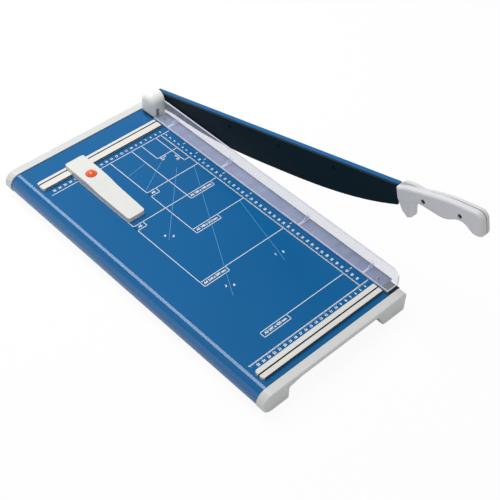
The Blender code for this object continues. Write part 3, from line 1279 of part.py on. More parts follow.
def visible_bounds():
    bpy.context.view_layer.update()
    depsgraph = bpy.context.evaluated_depsgraph_get()
    low = Vector((math.inf, math.inf, math.inf))
    high = -low
    for made in bpy.context.scene.objects:
        if made.type != "MESH" or made.hide_render:
            continue
        shown = made.evaluated_get(depsgraph)
        for vertex in shown.data.vertices:
            point = shown.matrix_world @ vertex.co
            low = Vector(map(min, low, point))
            high = Vector(map(max, high, point))
    return low, high


def build():
    clear_scene()
    root = empty("cutter", (0, 0, 0))
    lever = empty("lever_axis", (0, PIVOT_BACK, PIVOT_HEIGHT), root)
    lever.rotation_euler = (-LEVER_ANGLE, 0, 0)
    guard = empty("guard_slide", (0, 0, 0), root)
    gauge = empty("gauge_slide", (GAUGE_MIDDLE, 0, 0), root)
    button = empty("button_slide", (0, -BUTTON_PLACE, GAUGE_HEAD_TOP), gauge)
    make_table(root)
    make_knife(root)
    make_knife_beam(root)
    make_knife_screws(root)
    make_front_block(root)
    for side, inner, outward in TABLE_ENDS:
        make_cap(root, side + "_end_cap", inner, outward)
        make_cross_member(root, side + "_cross_member", outward)
        make_cap_screws(root, side + "_cap_screw", outward)
    make_feet(root)
    make_stiffener(root)
    make_rails(root)
    make_gauge(gauge)
    make_gauge_guide(gauge)
    make_button(button)
    make_button_spring(gauge)
    make_blade(lever)
    make_lever_bar(lever)
    make_rivets(lever)
    make_handle(lever)
    make_bolt(lever)
    make_pivot_stack(root, lever)
    make_bracket(root)
    make_cam(lever)
    make_housing(root)
    make_guard(guard)
    make_guard_posts(guard, root)
    low, high = visible_bounds()
    root.location = (-(low.x + high.x) / 2, -(low.y + high.y) / 2, -low.z)
    bpy.context.view_layer.update()
    for made in bpy.context.scene.objects:
        if made.type == "EMPTY":
            print(made.name, [round(value, 5) for value in made.matrix_world.translation])
    print("size", [round(value, 5) for value in high - low])


build()
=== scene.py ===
"""Guillotine paper cutter: the finishes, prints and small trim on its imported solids."""

import json
import math

import bmesh
import bpy
from mathutils import Matrix, Vector

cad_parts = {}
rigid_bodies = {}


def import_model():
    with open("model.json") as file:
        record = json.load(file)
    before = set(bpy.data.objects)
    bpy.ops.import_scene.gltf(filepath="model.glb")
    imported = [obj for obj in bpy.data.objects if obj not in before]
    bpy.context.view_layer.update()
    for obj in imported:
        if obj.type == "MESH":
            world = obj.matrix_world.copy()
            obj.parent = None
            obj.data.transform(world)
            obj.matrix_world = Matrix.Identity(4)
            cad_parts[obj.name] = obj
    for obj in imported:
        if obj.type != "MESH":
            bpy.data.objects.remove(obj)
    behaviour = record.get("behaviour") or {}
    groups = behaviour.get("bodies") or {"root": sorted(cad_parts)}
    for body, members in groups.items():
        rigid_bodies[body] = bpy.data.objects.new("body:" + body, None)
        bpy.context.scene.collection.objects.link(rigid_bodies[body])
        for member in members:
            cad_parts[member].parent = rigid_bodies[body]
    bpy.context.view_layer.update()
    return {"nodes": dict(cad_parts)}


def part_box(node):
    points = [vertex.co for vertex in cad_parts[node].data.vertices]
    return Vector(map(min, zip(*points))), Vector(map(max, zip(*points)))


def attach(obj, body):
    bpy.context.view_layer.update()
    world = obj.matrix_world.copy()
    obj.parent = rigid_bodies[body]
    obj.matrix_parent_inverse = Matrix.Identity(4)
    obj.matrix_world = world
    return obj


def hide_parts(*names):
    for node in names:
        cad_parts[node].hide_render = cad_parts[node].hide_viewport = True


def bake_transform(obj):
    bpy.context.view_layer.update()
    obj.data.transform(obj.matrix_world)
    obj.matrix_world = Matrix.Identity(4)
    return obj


for stray in list(bpy.data.objects):
    bpy.data.objects.remove(stray)
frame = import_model()
solids = frame["nodes"]


# Table plate
# One sheet of 1.5 mm steel, rolled over at the left edge and folded down at the cut, coated
# in blue powder enamel. The enamel is satin, with a fine orange-peel skin and an even colour.

MILLIMETRE = 0.001
knife_high, rail_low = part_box("bed_knife")[1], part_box("rear_rail")[0]
CUT_CORNER = Vector((knife_high.x, rail_low.y, knife_high.z))


def at(x, y, z):
    """A point in metres, from millimetres off the corner where the cut meets the rear rail."""
    return CUT_CORNER + Vector((x, y, z)) * MILLIMETRE


def linear(code):
    """A hex colour as the linear values that a socket takes."""
    shares = [int(code[place:place + 2], 16) / 255 for place in (0, 2, 4)]
    return (*[s / 12.92 if s <= 0.04045 else ((s + 0.055) / 1.055) ** 2.4 for s in shares], 1)


def add(tree, kind, settings=None, links=None):
    """Adds a node, sets its properties (lower case) and its sockets, and links its inputs."""
    made = tree.nodes.new(kind)
    for key, value in (settings or {}).items():
        if isinstance(key, str) and key[0].islower():
            setattr(made, key, value)
        else:
            made.inputs[key].default_value = value
    for key, source in (links or {}).items():
        tree.links.new(source, made.inputs[key])
    return made


def surface(name, light, dark, cloud, grain, relief, rough, stretch=(1, 1, 1), turn=0.0, **sockets):
    """A finish whose colour drifts from light to dark over cloud mm, with a skin of bumps
    grain mm wide and relief mm high, drawn out by stretch along axes turned about X. A Mix
    node takes colours at its inputs 6 and 7, and numbers at 2 and 3."""
    made = bpy.data.materials.new(name)
    made.use_nodes = True
    tree = made.node_tree
    shader = tree.nodes["Principled BSDF"]
    for socket, value in sockets.items():
        shader.inputs[socket.replace("_", " ")].default_value = value
    place = add(tree, "ShaderNodeTexCoord")
    grid = add(tree, "ShaderNodeMapping",
               {"Rotation": (math.radians(turn), 0, 0), "Scale": stretch},
               {"Vector": place.outputs["Object"]})
    drift = add(tree, "ShaderNodeTexNoise", {"Scale": 1 / (cloud * MILLIMETRE), "Detail": 3.0},
                {"Vector": grid.outputs["Vector"]})
    skin = add(tree, "ShaderNodeTexNoise", {"Scale": 1 / (grain * MILLIMETRE), "Detail": 2.0},
               {"Vector": grid.outputs["Vector"]})
    colour = add(tree, "ShaderNodeMix", {"data_type": "RGBA", 6: linear(light), 7: linear(dark)},
                 {0: drift.outputs["Fac"]})
    gloss = add(tree, "ShaderNodeMapRange", {"To Min": rough[0], "To Max": rough[1]},
                {"Value": skin.outputs["Fac"]})
    bump = add(tree, "ShaderNodeBump", {"Distance": relief * MILLIMETRE},
               {"Height": skin.outputs["Fac"]})
    tree.links.new(colour.outputs[2], shader.inputs["Base Color"])
    tree.links.new(gloss.outputs["Result"], shader.inputs["Roughness"])
    tree.links.new(bump.outputs["Normal"], shader.inputs["Normal"])
    return made


def dress(finish, *names):
    """Gives these solids a finish in every material slot."""
    for name in names:
        for slot in solids[name].material_slots:
            slot.material = finish


# Powder enamel: cured polyester, IOR 1.5. Orange peel of 2 mm shows as a soft sheen, not dots.
enamel = surface("satin_powder_enamel", "02649F", "015C95", 160, 2.0, 0.006, (0.34, 0.42),
                 Specular_IOR_Level=0.1, Coat_Weight=1.0, Coat_Roughness=0.14)
dress(enamel, "table_plate")


# Printed scales and formats
# Screen print in white ink on the enamel: millimetre scales along the rails and the cut, paper
# formats with their sizes, and pale blue angle lines. Ink film, drawn 0.06 mm thick to show.

INK_BOTTOM, INK_TOP = 0.02, 0.08
RULE, FINE_RULE, BLADE_RULE = 0.95, 0.6, 1.2
BOLD_SHARE = 0.035
NAME_SIZE, CARD_SIZE, NUMBER_SIZE, ANGLE_SIZE = 5.6, 3.6, 5.2, 6.0
NAME_BOX_DEPTH = 10
BLADE_SCALE_X, REAR_SCALE_Y, FRONT_SCALE_Y = -44.5, -14.8, -451.65
SCALE_LEFT, REAR_SCALE_LEFT, SCALE_RIGHT = -262.0, -259, -27.4
GUARD_TICK_LEFT = -31.0
CENTIMETRE = 10.0
BLADE_NUMBERS_X, REAR_NUMBERS_UP, FRONT_NUMBERS_DOWN = -37.0, 6.6, 6.4
TICK_WIDTH, BLADE_TICK, FRONT_TICK = 0.35, 1.7, 1.6

white_ink = surface("white_screen_ink", "F8F8F2", "EEF0EC", 30, 0.6, 0.004, (0.45, 0.6))
pale_ink = surface("pale_blue_screen_ink", "5FA9DC", "539FD4", 30, 0.6, 0.004, (0.45, 0.6))


def stroke(mesh, start, end, width):
    """Adds a flat printed line between two points on the table, in millimetres."""
    along = Vector((end[0] - start[0], end[1] - start[1]))
    side = Vector((-along.y, along.x)).normalized() * width / 2
    tip = along.normalized() * width / 2
    corners = [Vector(start) - tip - side, Vector(end) + tip - side,
               Vector(end) + tip + side, Vector(start) - tip + side]
    rings = [[mesh.verts.new(at(c.x, c.y, z)) for c in corners] for z in (INK_BOTTOM, INK_TOP)]
    mesh.faces.new(rings[0][::-1])
    mesh.faces.new(rings[1])
    for i in range(4):
        j = (i + 1) % 4
        mesh.faces.new((rings[0][i], rings[0][j], rings[1][j], rings[1][i]))


def lettering(mesh, words, size, x, y, turn=0.0):
    """Adds words in a plain face, centred on a point of the table and turned by degrees."""
    curve = bpy.data.curves.new("words", "FONT")
    curve.body, curve.size, curve.resolution_u = words, size * MILLIMETRE, 2
    curve.align_x = curve.align_y = "CENTER"
    curve.extrude = (INK_TOP - INK_BOTTOM) / 2 * MILLIMETRE
    curve.offset = BOLD_SHARE * size * MILLIMETRE
    drawn = bpy.data.objects.new("words", curve)
    bpy.context.scene.collection.objects.link(drawn)
    ready = drawn.evaluated_get(bpy.context.evaluated_depsgraph_get())
    shape = bpy.data.meshes.new_from_object(ready)
    shape.transform(Matrix.Translation(at(x, y, (INK_TOP + INK_BOTTOM) / 2))
                    @ Matrix.Rotation(math.radians(turn), 4, "Z"))
    mesh.from_mesh(shape)
    bpy.data.objects.remove(drawn)


def keep(name, mesh, finish, body):
    """Turns a bmesh into a piece of one finish, with its faces outwards, that rides on a body,
    if one is named."""
    bmesh.ops.remove_doubles(mesh, verts=mesh.verts, dist=1e-7)
    bmesh.ops.recalc_face_normals(mesh, faces=mesh.faces)
    shape = bpy.data.meshes.new(name)
    mesh.to_mesh(shape)
    mesh.free()
    shape.materials.append(finish)
    for face in shape.polygons:
        face.material_index = 0
    piece = bpy.data.objects.new(name, shape)
    bpy.context.scene.collection.objects.link(piece)
    if body:
        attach(piece, body)
    return piece


def plant(label, sizes, finish):
    """A new Geometry Nodes tree with named size inputs, and its group input node."""
    tree = bpy.data.node_groups.new(label, "GeometryNodeTree")
    tree.interface.new_socket("Shape", in_out="OUTPUT", socket_type="NodeSocketGeometry")
    tree.interface.new_socket("Points", in_out="INPUT", socket_type="NodeSocketGeometry")
    for size, kind in sizes.items():
        tree.interface.new_socket(size, in_out="INPUT", socket_type="NodeSocket" + kind)
    source = add(tree, "NodeGroupInput")
    real = add(tree, "GeometryNodeRealizeInstances")
    coat = add(tree, "GeometryNodeSetMaterial", {"Material": finish},
               {"Geometry": real.outputs["Geometry"]})
    add(tree, "NodeGroupOutput", None, {"Shape": coat.outputs["Geometry"]})
    return tree, source, real


def grow(tree, values, points=((0, 0, 0),)):
    """The plain mesh that a tree makes from these values, in metres, at its own origin."""
    seed = bpy.data.meshes.new("seed")
    seed.from_pydata([tuple(point) for point in points], [], [])
    holder = bpy.data.objects.new("seed", seed)
    bpy.context.scene.collection.objects.link(holder)
    modifier = holder.modifiers.new("grow", "NODES")
    modifier.node_group = tree
    for item in tree.interface.items_tree:
        if item.name in values:
            modifier[item.identifier] = values[item.name]
    ready = holder.evaluated_get(bpy.context.evaluated_depsgraph_get())
    shape = bpy.data.meshes.new_from_object(ready)
    bpy.data.objects.remove(holder)
    return shape


# Scale ticks: one bar a step, every fifth one longer and every tenth one longer still.
ticks, given, realize = plant("scale_ticks", {
    "Count": "Int", "Step": "Float", "Length": "Float", "Width": "Float",
    "Thickness": "Float"}, white_ink)
offset = add(ticks, "ShaderNodeCombineXYZ", None, {"X": given.outputs["Step"]})
row = add(ticks, "GeometryNodeMeshLine", None,
          {"Count": given.outputs["Count"], "Offset": offset.outputs["Vector"]})
bar_size = add(ticks, "ShaderNodeCombineXYZ", None, {
    "X": given.outputs["Width"], "Y": given.outputs["Length"], "Z": given.outputs["Thickness"]})
bar = add(ticks, "GeometryNodeMeshCube", None, {"Size": bar_size.outputs["Vector"]})
half = add(ticks, "ShaderNodeMath", {"operation": "MULTIPLY", 1: 0.5},
           {0: given.outputs["Length"]})
lift = add(ticks, "ShaderNodeCombineXYZ", None, {"Y": half.outputs["Value"]})
hung = add(ticks, "GeometryNodeTransform", None,
           {"Geometry": bar.outputs["Mesh"], "Translation": lift.outputs["Vector"]})
number = add(ticks, "GeometryNodeInputIndex")
longer = None
for every, more in ((5, 0.45), (10, 0.65)):
    left = add(ticks, "ShaderNodeMath", {"operation": "MODULO", 1: float(every)},
               {0: number.outputs["Index"]})
    hit = add(ticks, "ShaderNodeMath", {"operation": "LESS_THAN", 1: 0.5},
              {0: left.outputs["Value"]})
    longer = add(ticks, "ShaderNodeMath", {"operation": "MULTIPLY_ADD", 1: more, 2: 1.0},
                 {0: hit.outputs["Value"]} if longer is None else
                 {0: hit.outputs["Value"], 2: longer.outputs["Value"]})
reach = add(ticks, "ShaderNodeCombineXYZ", {"X": 1.0, "Z": 1.0}, {"Y": longer.outputs["Value"]})
placed = add(ticks, "GeometryNodeInstanceOnPoints", None, {
    "Points": row.outputs["Mesh"], "Instance": hung.outputs["Geometry"],
    "Scale": reach.outputs["Vector"]})
ticks.links.new(placed.outputs["Instances"], realize.inputs["Geometry"])


def scale(mesh, count, length, width, x, y, turn):
    """Adds a row of millimetre ticks that starts at a point of the table."""
    shape = grow(ticks, {"Count": count, "Step": MILLIMETRE, "Length": length * MILLIMETRE,
                         "Width": width * MILLIMETRE,
                         "Thickness": (INK_TOP - INK_BOTTOM) * MILLIMETRE})
    shape.transform(Matrix.Translation(at(x, y, (INK_TOP + INK_BOTTOM) / 2))
                    @ Matrix.Rotation(math.radians(turn), 4, "Z"))
    mesh.from_mesh(shape)


print_mesh = bmesh.new()
# Format lines: (x, y) to (x, y), from the two scale lines that they start at.
for start, end in (
        ((-105, REAR_SCALE_Y), (-105, -148.5)), ((-148, REAR_SCALE_Y), (-148, -210)),
        ((-210, REAR_SCALE_Y), (-210, -297)), ((BLADE_SCALE_X, -105), (-148, -105)),
        ((BLADE_SCALE_X, -148.5), (-210, -148.5)), ((BLADE_SCALE_X, -210), (-148, -210)),
        ((BLADE_SCALE_X, -297), (-210, -297)), ((BLADE_SCALE_X, -420), (-211, -420)),
        ((-55, REAR_SCALE_Y), (-55, -85)), ((BLADE_SCALE_X, -85), (-55, -85)),
        ((-85, REAR_SCALE_Y), (-85, -55)), ((BLADE_SCALE_X, -55), (-85, -55))):
    stroke(print_mesh, start, end, RULE)
stroke(print_mesh, (BLADE_SCALE_X, REAR_SCALE_Y), (BLADE_SCALE_X, FRONT_SCALE_Y), BLADE_RULE)
stroke(print_mesh, (REAR_SCALE_LEFT, REAR_SCALE_Y), (SCALE_RIGHT, REAR_SCALE_Y), RULE)
stroke(print_mesh, (SCALE_LEFT, FRONT_SCALE_Y), (SCALE_RIGHT, FRONT_SCALE_Y), RULE)
for format_y in (-55, -85, -105, -148.5, -210, -297, -420):
    stroke(print_mesh, (GUARD_TICK_LEFT, format_y), (SCALE_RIGHT, format_y), RULE)

# Boxed format names: left, right, back line, and the words.
for left, right, back, words in (
        (-210, -162.5, -297, "A4 210 x 297 mm"), (-105, -57.5, -148.5, "A6 105 x 148 mm"),
        (-148, -99, -210, "A5 148 x 210 mm"), (-211, -160.5, -420, "A3 297 x 420 mm"),
        (-210, -192.5, -148.5, "A5"), (-148, -131, -105, "A6")):
    front = back - NAME_BOX_DEPTH
    stroke(print_mesh, (left, front), (right, front), RULE)
    stroke(print_mesh, (left, back), (left, front), RULE)
    stroke(print_mesh, (right, back), (right, front), RULE)
    lettering(print_mesh, words, NAME_SIZE, (left + right) / 2, (back + front) / 2)
# Card formats: words, middle, and the turn in degrees.
for words, x, y, turn in (("85 x 55", -76, -58.4, 0), ("mm", -79, -62.2, 0),
                          ("55 x 85", -58.4, -72, 90), ("mm", -62.2, -76, 90)):
    lettering(print_mesh, words, CARD_SIZE, x, y, turn)

# Centimetre numbers and millimetre ticks beside the blade, along the rear and the front rail.
for number_cm in range(2, 45):
    lettering(print_mesh, str(number_cm), NUMBER_SIZE, BLADE_NUMBERS_X, -CENTIMETRE * number_cm)
for number_cm in range(4, 26):
    for row_y in (REAR_SCALE_Y + REAR_NUMBERS_UP, FRONT_SCALE_Y - FRONT_NUMBERS_DOWN):
        lettering(print_mesh, str(number_cm), NUMBER_SIZE, -CENTIMETRE * number_cm, row_y)
scale(print_mesh, 436, BLADE_TICK, TICK_WIDTH, BLADE_SCALE_X - BLADE_RULE / 2, -15.0, -90.0)
scale(print_mesh, 232, FRONT_TICK, TICK_WIDTH, -30.0, FRONT_SCALE_Y, 180.0)
keep("printed_scale", print_mesh, white_ink, "base")

# Painted shade: black fills the gaps beside the guard and along the caps, where shade falls: start,
# end and width.
gap_shade_black = surface("painted_gap_shade_black", "101012", "18181A", 20, 0.6, 0.004, (0.5, 0.65))
gap_shade_mesh = bmesh.new()
for start, end, width in (((-28.3, -463.5), (-28.3, -491.0), 2.2),
                          ((-28.3, -2.0), (-28.3, 22.0), 2.0),
                          ((-270, -491.9), (-27, -491.9), 0.8), ((-270, 56.9), (-30, 56.9), 0.8)):
    stroke(gap_shade_mesh, start, end, width)
keep("painted_gap_shade", gap_shade_mesh, gap_shade_black, "base")

# Angle lines, and the digits of 45, 30 and 15 degrees beside them.
angle_mesh = bmesh.new()
for start, end in (((-76, -91), (-188, -203)), ((-53, -106), (-192, -346)),
                   ((-53, -211), (-89, -345)), ((-86, -65), (-145, -99)),
                   ((-107, -51), (-145, -57))):
    stroke(angle_mesh, start, end, FINE_RULE)
keep("angle_lines", angle_mesh, pale_ink, "base")
digit_mesh = bmesh.new()
for digit, x, y, turn in (("4", -187, -193, 45), ("5", -178, -202, 45), ("3", -187, -326, 60),
                          ("0", -177, -332, 60), ("1", -91, -328, 75), ("5", -79, -332, 75)):
    lettering(digit_mesh, digit, ANGLE_SIZE, x, y, turn - 90)
keep("angle_digits", digit_mesh, white_ink, "base")


# Stop rails
# Two extruded rails in off-white lacquer, screwed down from below. Their front faces are painted
# dark as painted shade, the rear one with a millimetre scale, and the groove along the top is
# painted dark as painted shade, with a black strip in it that stands in for more of that shade.

RAIL_FACE_SHADE_DEPTH = 0.25
REAR_SHADED_FACE_Y, FRONT_SHADED_FACE_Y = 0.0, -482.0
REAR_GROOVE_Y, FRONT_GROOVE_Y, GROOVE_SHADE_HALF_WIDTH = 12.5, -473.0, 1.15
RAIL_TICK, RAIL_TICK_WIDTH, RAIL_TICK_DEPTH = 1.5, 0.3, 0.06
RAIL_SCALE_START = (-261, -0.05, 0.7)

for rail, shaded_face_y, groove_y in (("rear_rail", REAR_SHADED_FACE_Y, REAR_GROOVE_Y),
                               ("front_rail", FRONT_SHADED_FACE_Y, FRONT_GROOVE_Y)):
    # Lacquer on aluminium: even and satin. The face toward the operator and the groove are painted
    # dark as painted shade.
    lacquer = surface("satin_lacquer_and_painted_shade_" + rail, "E3E2DD", "D9D8D4", 60, 0.8, 0.006, (0.34, 0.46))
    tree = lacquer.node_tree
    shader = tree.nodes["Principled BSDF"]
    pale = shader.inputs["Base Color"].links[0].from_socket
    place = add(tree, "ShaderNodeTexCoord")
    spot = add(tree, "ShaderNodeSeparateXYZ", None, {"Vector": place.outputs["Object"]})
    # Painted shade: the rail's front face gets the dark colour 55504A.
    near = add(tree, "ShaderNodeMath", {
        "operation": "COMPARE", 1: at(0, shaded_face_y, 0).y, 2: RAIL_FACE_SHADE_DEPTH * MILLIMETRE},
        {0: spot.outputs["Y"]})
    face = add(tree, "ShaderNodeMix", {"data_type": "RGBA", 7: linear("55504A")},
               {0: near.outputs["Value"], 6: pale})
    # Painted shade: the groove gets the dark colour 2B281E.
    in_groove_shade = add(tree, "ShaderNodeMath", {
        "operation": "COMPARE", 1: at(0, groove_y, 0).y, 2: GROOVE_SHADE_HALF_WIDTH * MILLIMETRE},
        {0: spot.outputs["Y"]})
    groove = add(tree, "ShaderNodeMix", {"data_type": "RGBA", 7: linear("2B281E")},
                 {0: in_groove_shade.outputs["Value"], 6: face.outputs[2]})
    tree.links.new(groove.outputs[2], shader.inputs["Base Color"])
    dress(lacquer, rail)

rail_scale = grow(ticks, {"Count": 230, "Step": MILLIMETRE, "Length": RAIL_TICK * MILLIMETRE,
                          "Width": RAIL_TICK_WIDTH * MILLIMETRE,
                          "Thickness": RAIL_TICK_DEPTH * MILLIMETRE})
rail_scale.transform(Matrix.Translation(at(*RAIL_SCALE_START))
                     @ Matrix.Rotation(math.radians(90), 4, "X"))
rail_mesh = bmesh.new()
rail_mesh.from_mesh(rail_scale)
keep("rear_rail_scale", rail_mesh, white_ink, "base")

# Groove strips: matt black, 1.9 mm wide with rounded ends, that stand in for the shade in the
# grooves: painted shade.
STRIP_HALF_WIDTH, STRIP_BOTTOM, STRIP_TOP = 0.95, 1.85, 2.12
STRIP_LEFT, STRIP_RIGHT = -258.5, -31.5
END_STEPS = 6
groove_shade_strip = surface("painted_groove_shade_strip", "1C1A17", "26231F", 12, 0.5, 0.01, (0.7, 0.85))
for strip, groove_y in (("rear_groove_shade_strip", REAR_GROOVE_Y),
                        ("front_groove_shade_strip", FRONT_GROOVE_Y)):
    strip_mesh = bmesh.new()
    outline = []
    for end_x, first in ((STRIP_RIGHT, -90), (STRIP_LEFT, 90)):
        for step in range(END_STEPS + 1):
            turn = math.radians(first + 180 / END_STEPS * step)
            outline.append((end_x + STRIP_HALF_WIDTH * math.cos(turn),
                            groove_y + STRIP_HALF_WIDTH * math.sin(turn)))
    rings = [[strip_mesh.verts.new(at(x, y, z)) for x, y in outline]
             for z in (STRIP_BOTTOM, STRIP_TOP)]
    strip_mesh.faces.new(rings[0][::-1])
    strip_mesh.faces.new(rings[1])
    for i, foot in enumerate(rings[0]):
        j = (i + 1) % len(outline)
        strip_mesh.faces.new((foot, rings[0][j], rings[1][j], rings[1][i]))
    keep(strip, strip_mesh, groove_shade_strip, "base")


# End caps and feet
# Injection-moulded ABS caps over both ends of the table, light grey, with the fine spark grain
# of the mould. Rubber pads are pressed into their feet.

grey_abs = surface("moulded_grey_abs", "D4D7D4", "CDCFD0", 90, 0.9, 0.01, (0.42, 0.52))
dress(grey_abs, "front_end_cap", "rear_end_cap")
pad_rubber = surface("moulded_black_rubber", "201F1F", "2A2929", 8, 0.6, 0.02, (0.75, 0.9))
dress(pad_rubber, "rubber_foot_front_left", "rubber_foot_front_right",
      "rubber_foot_rear_left", "rubber_foot_rear_right")


# Frame under the table
# Cross members, the stiffener and the knife's beam are cut from galvanised steel, which shows
# the flat crystals of the zinc. Brackets, bolts and nuts are bright zinc plated.

CRYSTAL_WIDTH = 7
galvanised = surface("galvanised_steel", "A9ACAE", "8E9295", 40, 0.8, 0.004, (0.38, 0.5),
                     Metallic=1.0)
tree = galvanised.node_tree
shader = tree.nodes["Principled BSDF"]
place = add(tree, "ShaderNodeTexCoord")
crystals = add(tree, "ShaderNodeTexVoronoi", {"Scale": 1 / (CRYSTAL_WIDTH * MILLIMETRE)},
               {"Vector": place.outputs["Object"]})
facet = add(tree, "ShaderNodeSeparateColor", None, {"Color": crystals.outputs["Color"]})
spangle = add(tree, "ShaderNodeMix", {"data_type": "RGBA", 6: linear("B4B7B9"),
                                      7: linear("868B8F")}, {0: facet.outputs["Red"]})
tree.links.new(spangle.outputs[2], shader.inputs["Base Color"])
dress(galvanised, "front_cross_member", "rear_cross_member", "table_stiffener", "knife_beam")
zinc = surface("bright_zinc_plate", "B9BCBF", "A3A8AD", 6, 0.7, 0.006, (0.26, 0.36),
               Metallic=1.0)
dress(zinc, "front_cap_screw_1", "front_cap_screw_2", "rear_cap_screw_1", "rear_cap_screw_2",
      "front_rail_screw_1", "front_rail_screw_2", "rear_rail_screw_1", "rear_rail_screw_2",
      "bed_knife_screw_1", "bed_knife_screw_2", "bed_knife_screw_3", "bracket_screw_1",
      "bracket_screw_2", "housing_screw_1", "pivot_bracket", "pivot_bolt", "pivot_locknut",
      "pivot_washer", "clamp_cam", "guard_post_clip_1", "guard_post_clip_2")

# Cross recesses in the screw heads: two crossing slots drawn as thin black slabs, painted shade
# where the driver reaches in.
RECESS_SHARE, SLOT_SHARE, RECESS_DEPTH = 0.56, 0.26, 0.06
recess_dark = surface("shaded_screw_recess", "0E0E10", "18181A", 2, 0.3, 0.01, (0.6, 0.8))
recesses, given, realize = plant("cross_recesses", {
    "Size": "Float", "Depth": "Float", "Facing": "Vector"}, recess_dark)
slots = []
for wide in (True, False):
    narrow = add(recesses, "ShaderNodeMath", {"operation": "MULTIPLY", 1: SLOT_SHARE},
                 {0: given.outputs["Size"]})
    long_side, short_side = given.outputs["Size"], narrow.outputs["Value"]
    size = add(recesses, "ShaderNodeCombineXYZ", None, {
        "X": long_side if wide else short_side, "Y": short_side if wide else long_side,
        "Z": given.outputs["Depth"]})
    slots.append(add(recesses, "GeometryNodeMeshCube", None, {"Size": size.outputs["Vector"]}))
cross = add(recesses, "GeometryNodeJoinGeometry")
for slot in slots:
    recesses.links.new(slot.outputs["Mesh"], cross.inputs["Geometry"])
aim = add(recesses, "FunctionNodeAlignRotationToVector", {"axis": "Z"},
          {"Vector": given.outputs["Facing"]})
placed = add(recesses, "GeometryNodeInstanceOnPoints", None, {
    "Points": given.outputs["Points"], "Instance": cross.outputs["Geometry"],
    "Rotation": aim.outputs["Rotation"]})
recesses.links.new(placed.outputs["Instances"], realize.inputs["Geometry"])


def head_spot(name, facing):
    """The middle of a screw head's face, and the head's width, from the solid's box."""
    low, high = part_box(name)
    middle = (low + high) / 2
    axis = max(range(3), key=lambda i: abs(facing[i]))
    middle[axis] = high[axis] if facing[axis] > 0 else low[axis]
    width = min(high[i] - low[i] for i in range(3) if i != axis)
    return middle, width


def add_recesses(mesh, names, facing):
    """Adds the recesses of like screws whose heads face one way."""
    spots = [head_spot(name, facing) for name in names]
    mesh.from_mesh(grow(recesses, {
        "Size": spots[0][1] * RECESS_SHARE, "Depth": RECESS_DEPTH * MILLIMETRE,
        "Facing": facing}, [spot for spot, _ in spots]))


recess_mesh = bmesh.new()
for names, facing in (
        (("front_cap_screw_1", "front_cap_screw_2"), (0, 1, 0)),
        (("rear_cap_screw_1", "rear_cap_screw_2"), (0, -1, 0)),
        (("front_rail_screw_1", "front_rail_screw_2", "rear_rail_screw_1",
          "rear_rail_screw_2"), (0, 0, -1)),
        (("bed_knife_screw_1", "bed_knife_screw_2", "bed_knife_screw_3", "bracket_screw_1",
          "bracket_screw_2"), (0, 0, -1)),
        (("housing_screw_1",), (0, 0, -1))):
    add_recesses(recess_mesh, names, facing)
keep("screw_recesses", recess_mesh, recess_dark, "base")


# Bed knife and front block
# The lower knife is ground tool steel, with grinding lines across it every few tenths of a
# millimetre, drawn 0.5 mm apart to show; its blue-violet colour is a painted reflection. The block
# in front of it is black acetal.

# Painted reflection: the blue-violet light and dark tones stand in for what the steel reflects.
steel_and_painted_reflection = surface("ground_steel_and_painted_reflection", "96ACD8", "334A84", 16, 0.5, 0.006, (0.24, 0.34),
                       stretch=(0.3, 1, 1), Metallic=0.55)
dress(steel_and_painted_reflection, "bed_knife")
acetal = surface("black_acetal", "121213", "1B1B1D", 20, 0.6, 0.008, (0.38, 0.5))
dress(acetal, "front_guide_block")


# Blade guard
# One clear acrylic moulding, 2 mm thick, faintly blue, with painted highlights along its edges,
# where it is made more opaque and so white.
# It slides on two steel posts with clips, and a coil spring round each post lifts it.

GUARD_EDGE_X, WALL_TOP_Z, GUARD_FRONT_Y = -26.4, 27.9, -487.8
RIM_HIGHLIGHT_STRENGTH, RIB_HIGHLIGHT_STRENGTH, RIB_HIGHLIGHT_TOP = 0.7, 0.5, 9.0
RIB_PLACES, RIB_REACH = (-10.4, -139.6, -309.7, -439.5), 1.0
acrylic = surface("clear_acrylic_and_painted_highlights", "EEF1FC", "DFE5FA", 70, 3.0, 0.002, (0.05, 0.12), IOR=1.49)
tree = acrylic.node_tree
shader = tree.nodes["Principled BSDF"]
edge = add(tree, "ShaderNodeLayerWeight", {"Blend": 0.3})
haze = add(tree, "ShaderNodeMapRange", {"To Min": 0.05, "To Max": 0.6},
           {"Value": edge.outputs["Facing"]})
place = add(tree, "ShaderNodeTexCoord")
spot = add(tree, "ShaderNodeSeparateXYZ", None, {"Vector": place.outputs["Object"]})
opacity_and_highlights = haze
# Painted highlights: the moulding is made more opaque along its left edge, the top of its wall and
# its front end.
for axis, middle, reach_mm in (("X", at(GUARD_EDGE_X, 0, 0).x, 0.8),
                               ("Z", at(0, 0, WALL_TOP_Z).z, 0.6),
                               ("Y", at(0, GUARD_FRONT_Y, 0).y, 0.7)):
    rim_highlight = add(tree, "ShaderNodeMath", {"operation": "COMPARE", 1: middle,
                                       2: reach_mm * MILLIMETRE}, {0: spot.outputs[axis]})
    opacity_and_highlights = add(tree, "ShaderNodeMath",
              {"operation": "MULTIPLY_ADD", 1: RIM_HIGHLIGHT_STRENGTH, "use_clamp": True},
              {0: rim_highlight.outputs["Value"], 2: opacity_and_highlights.outputs[0]})
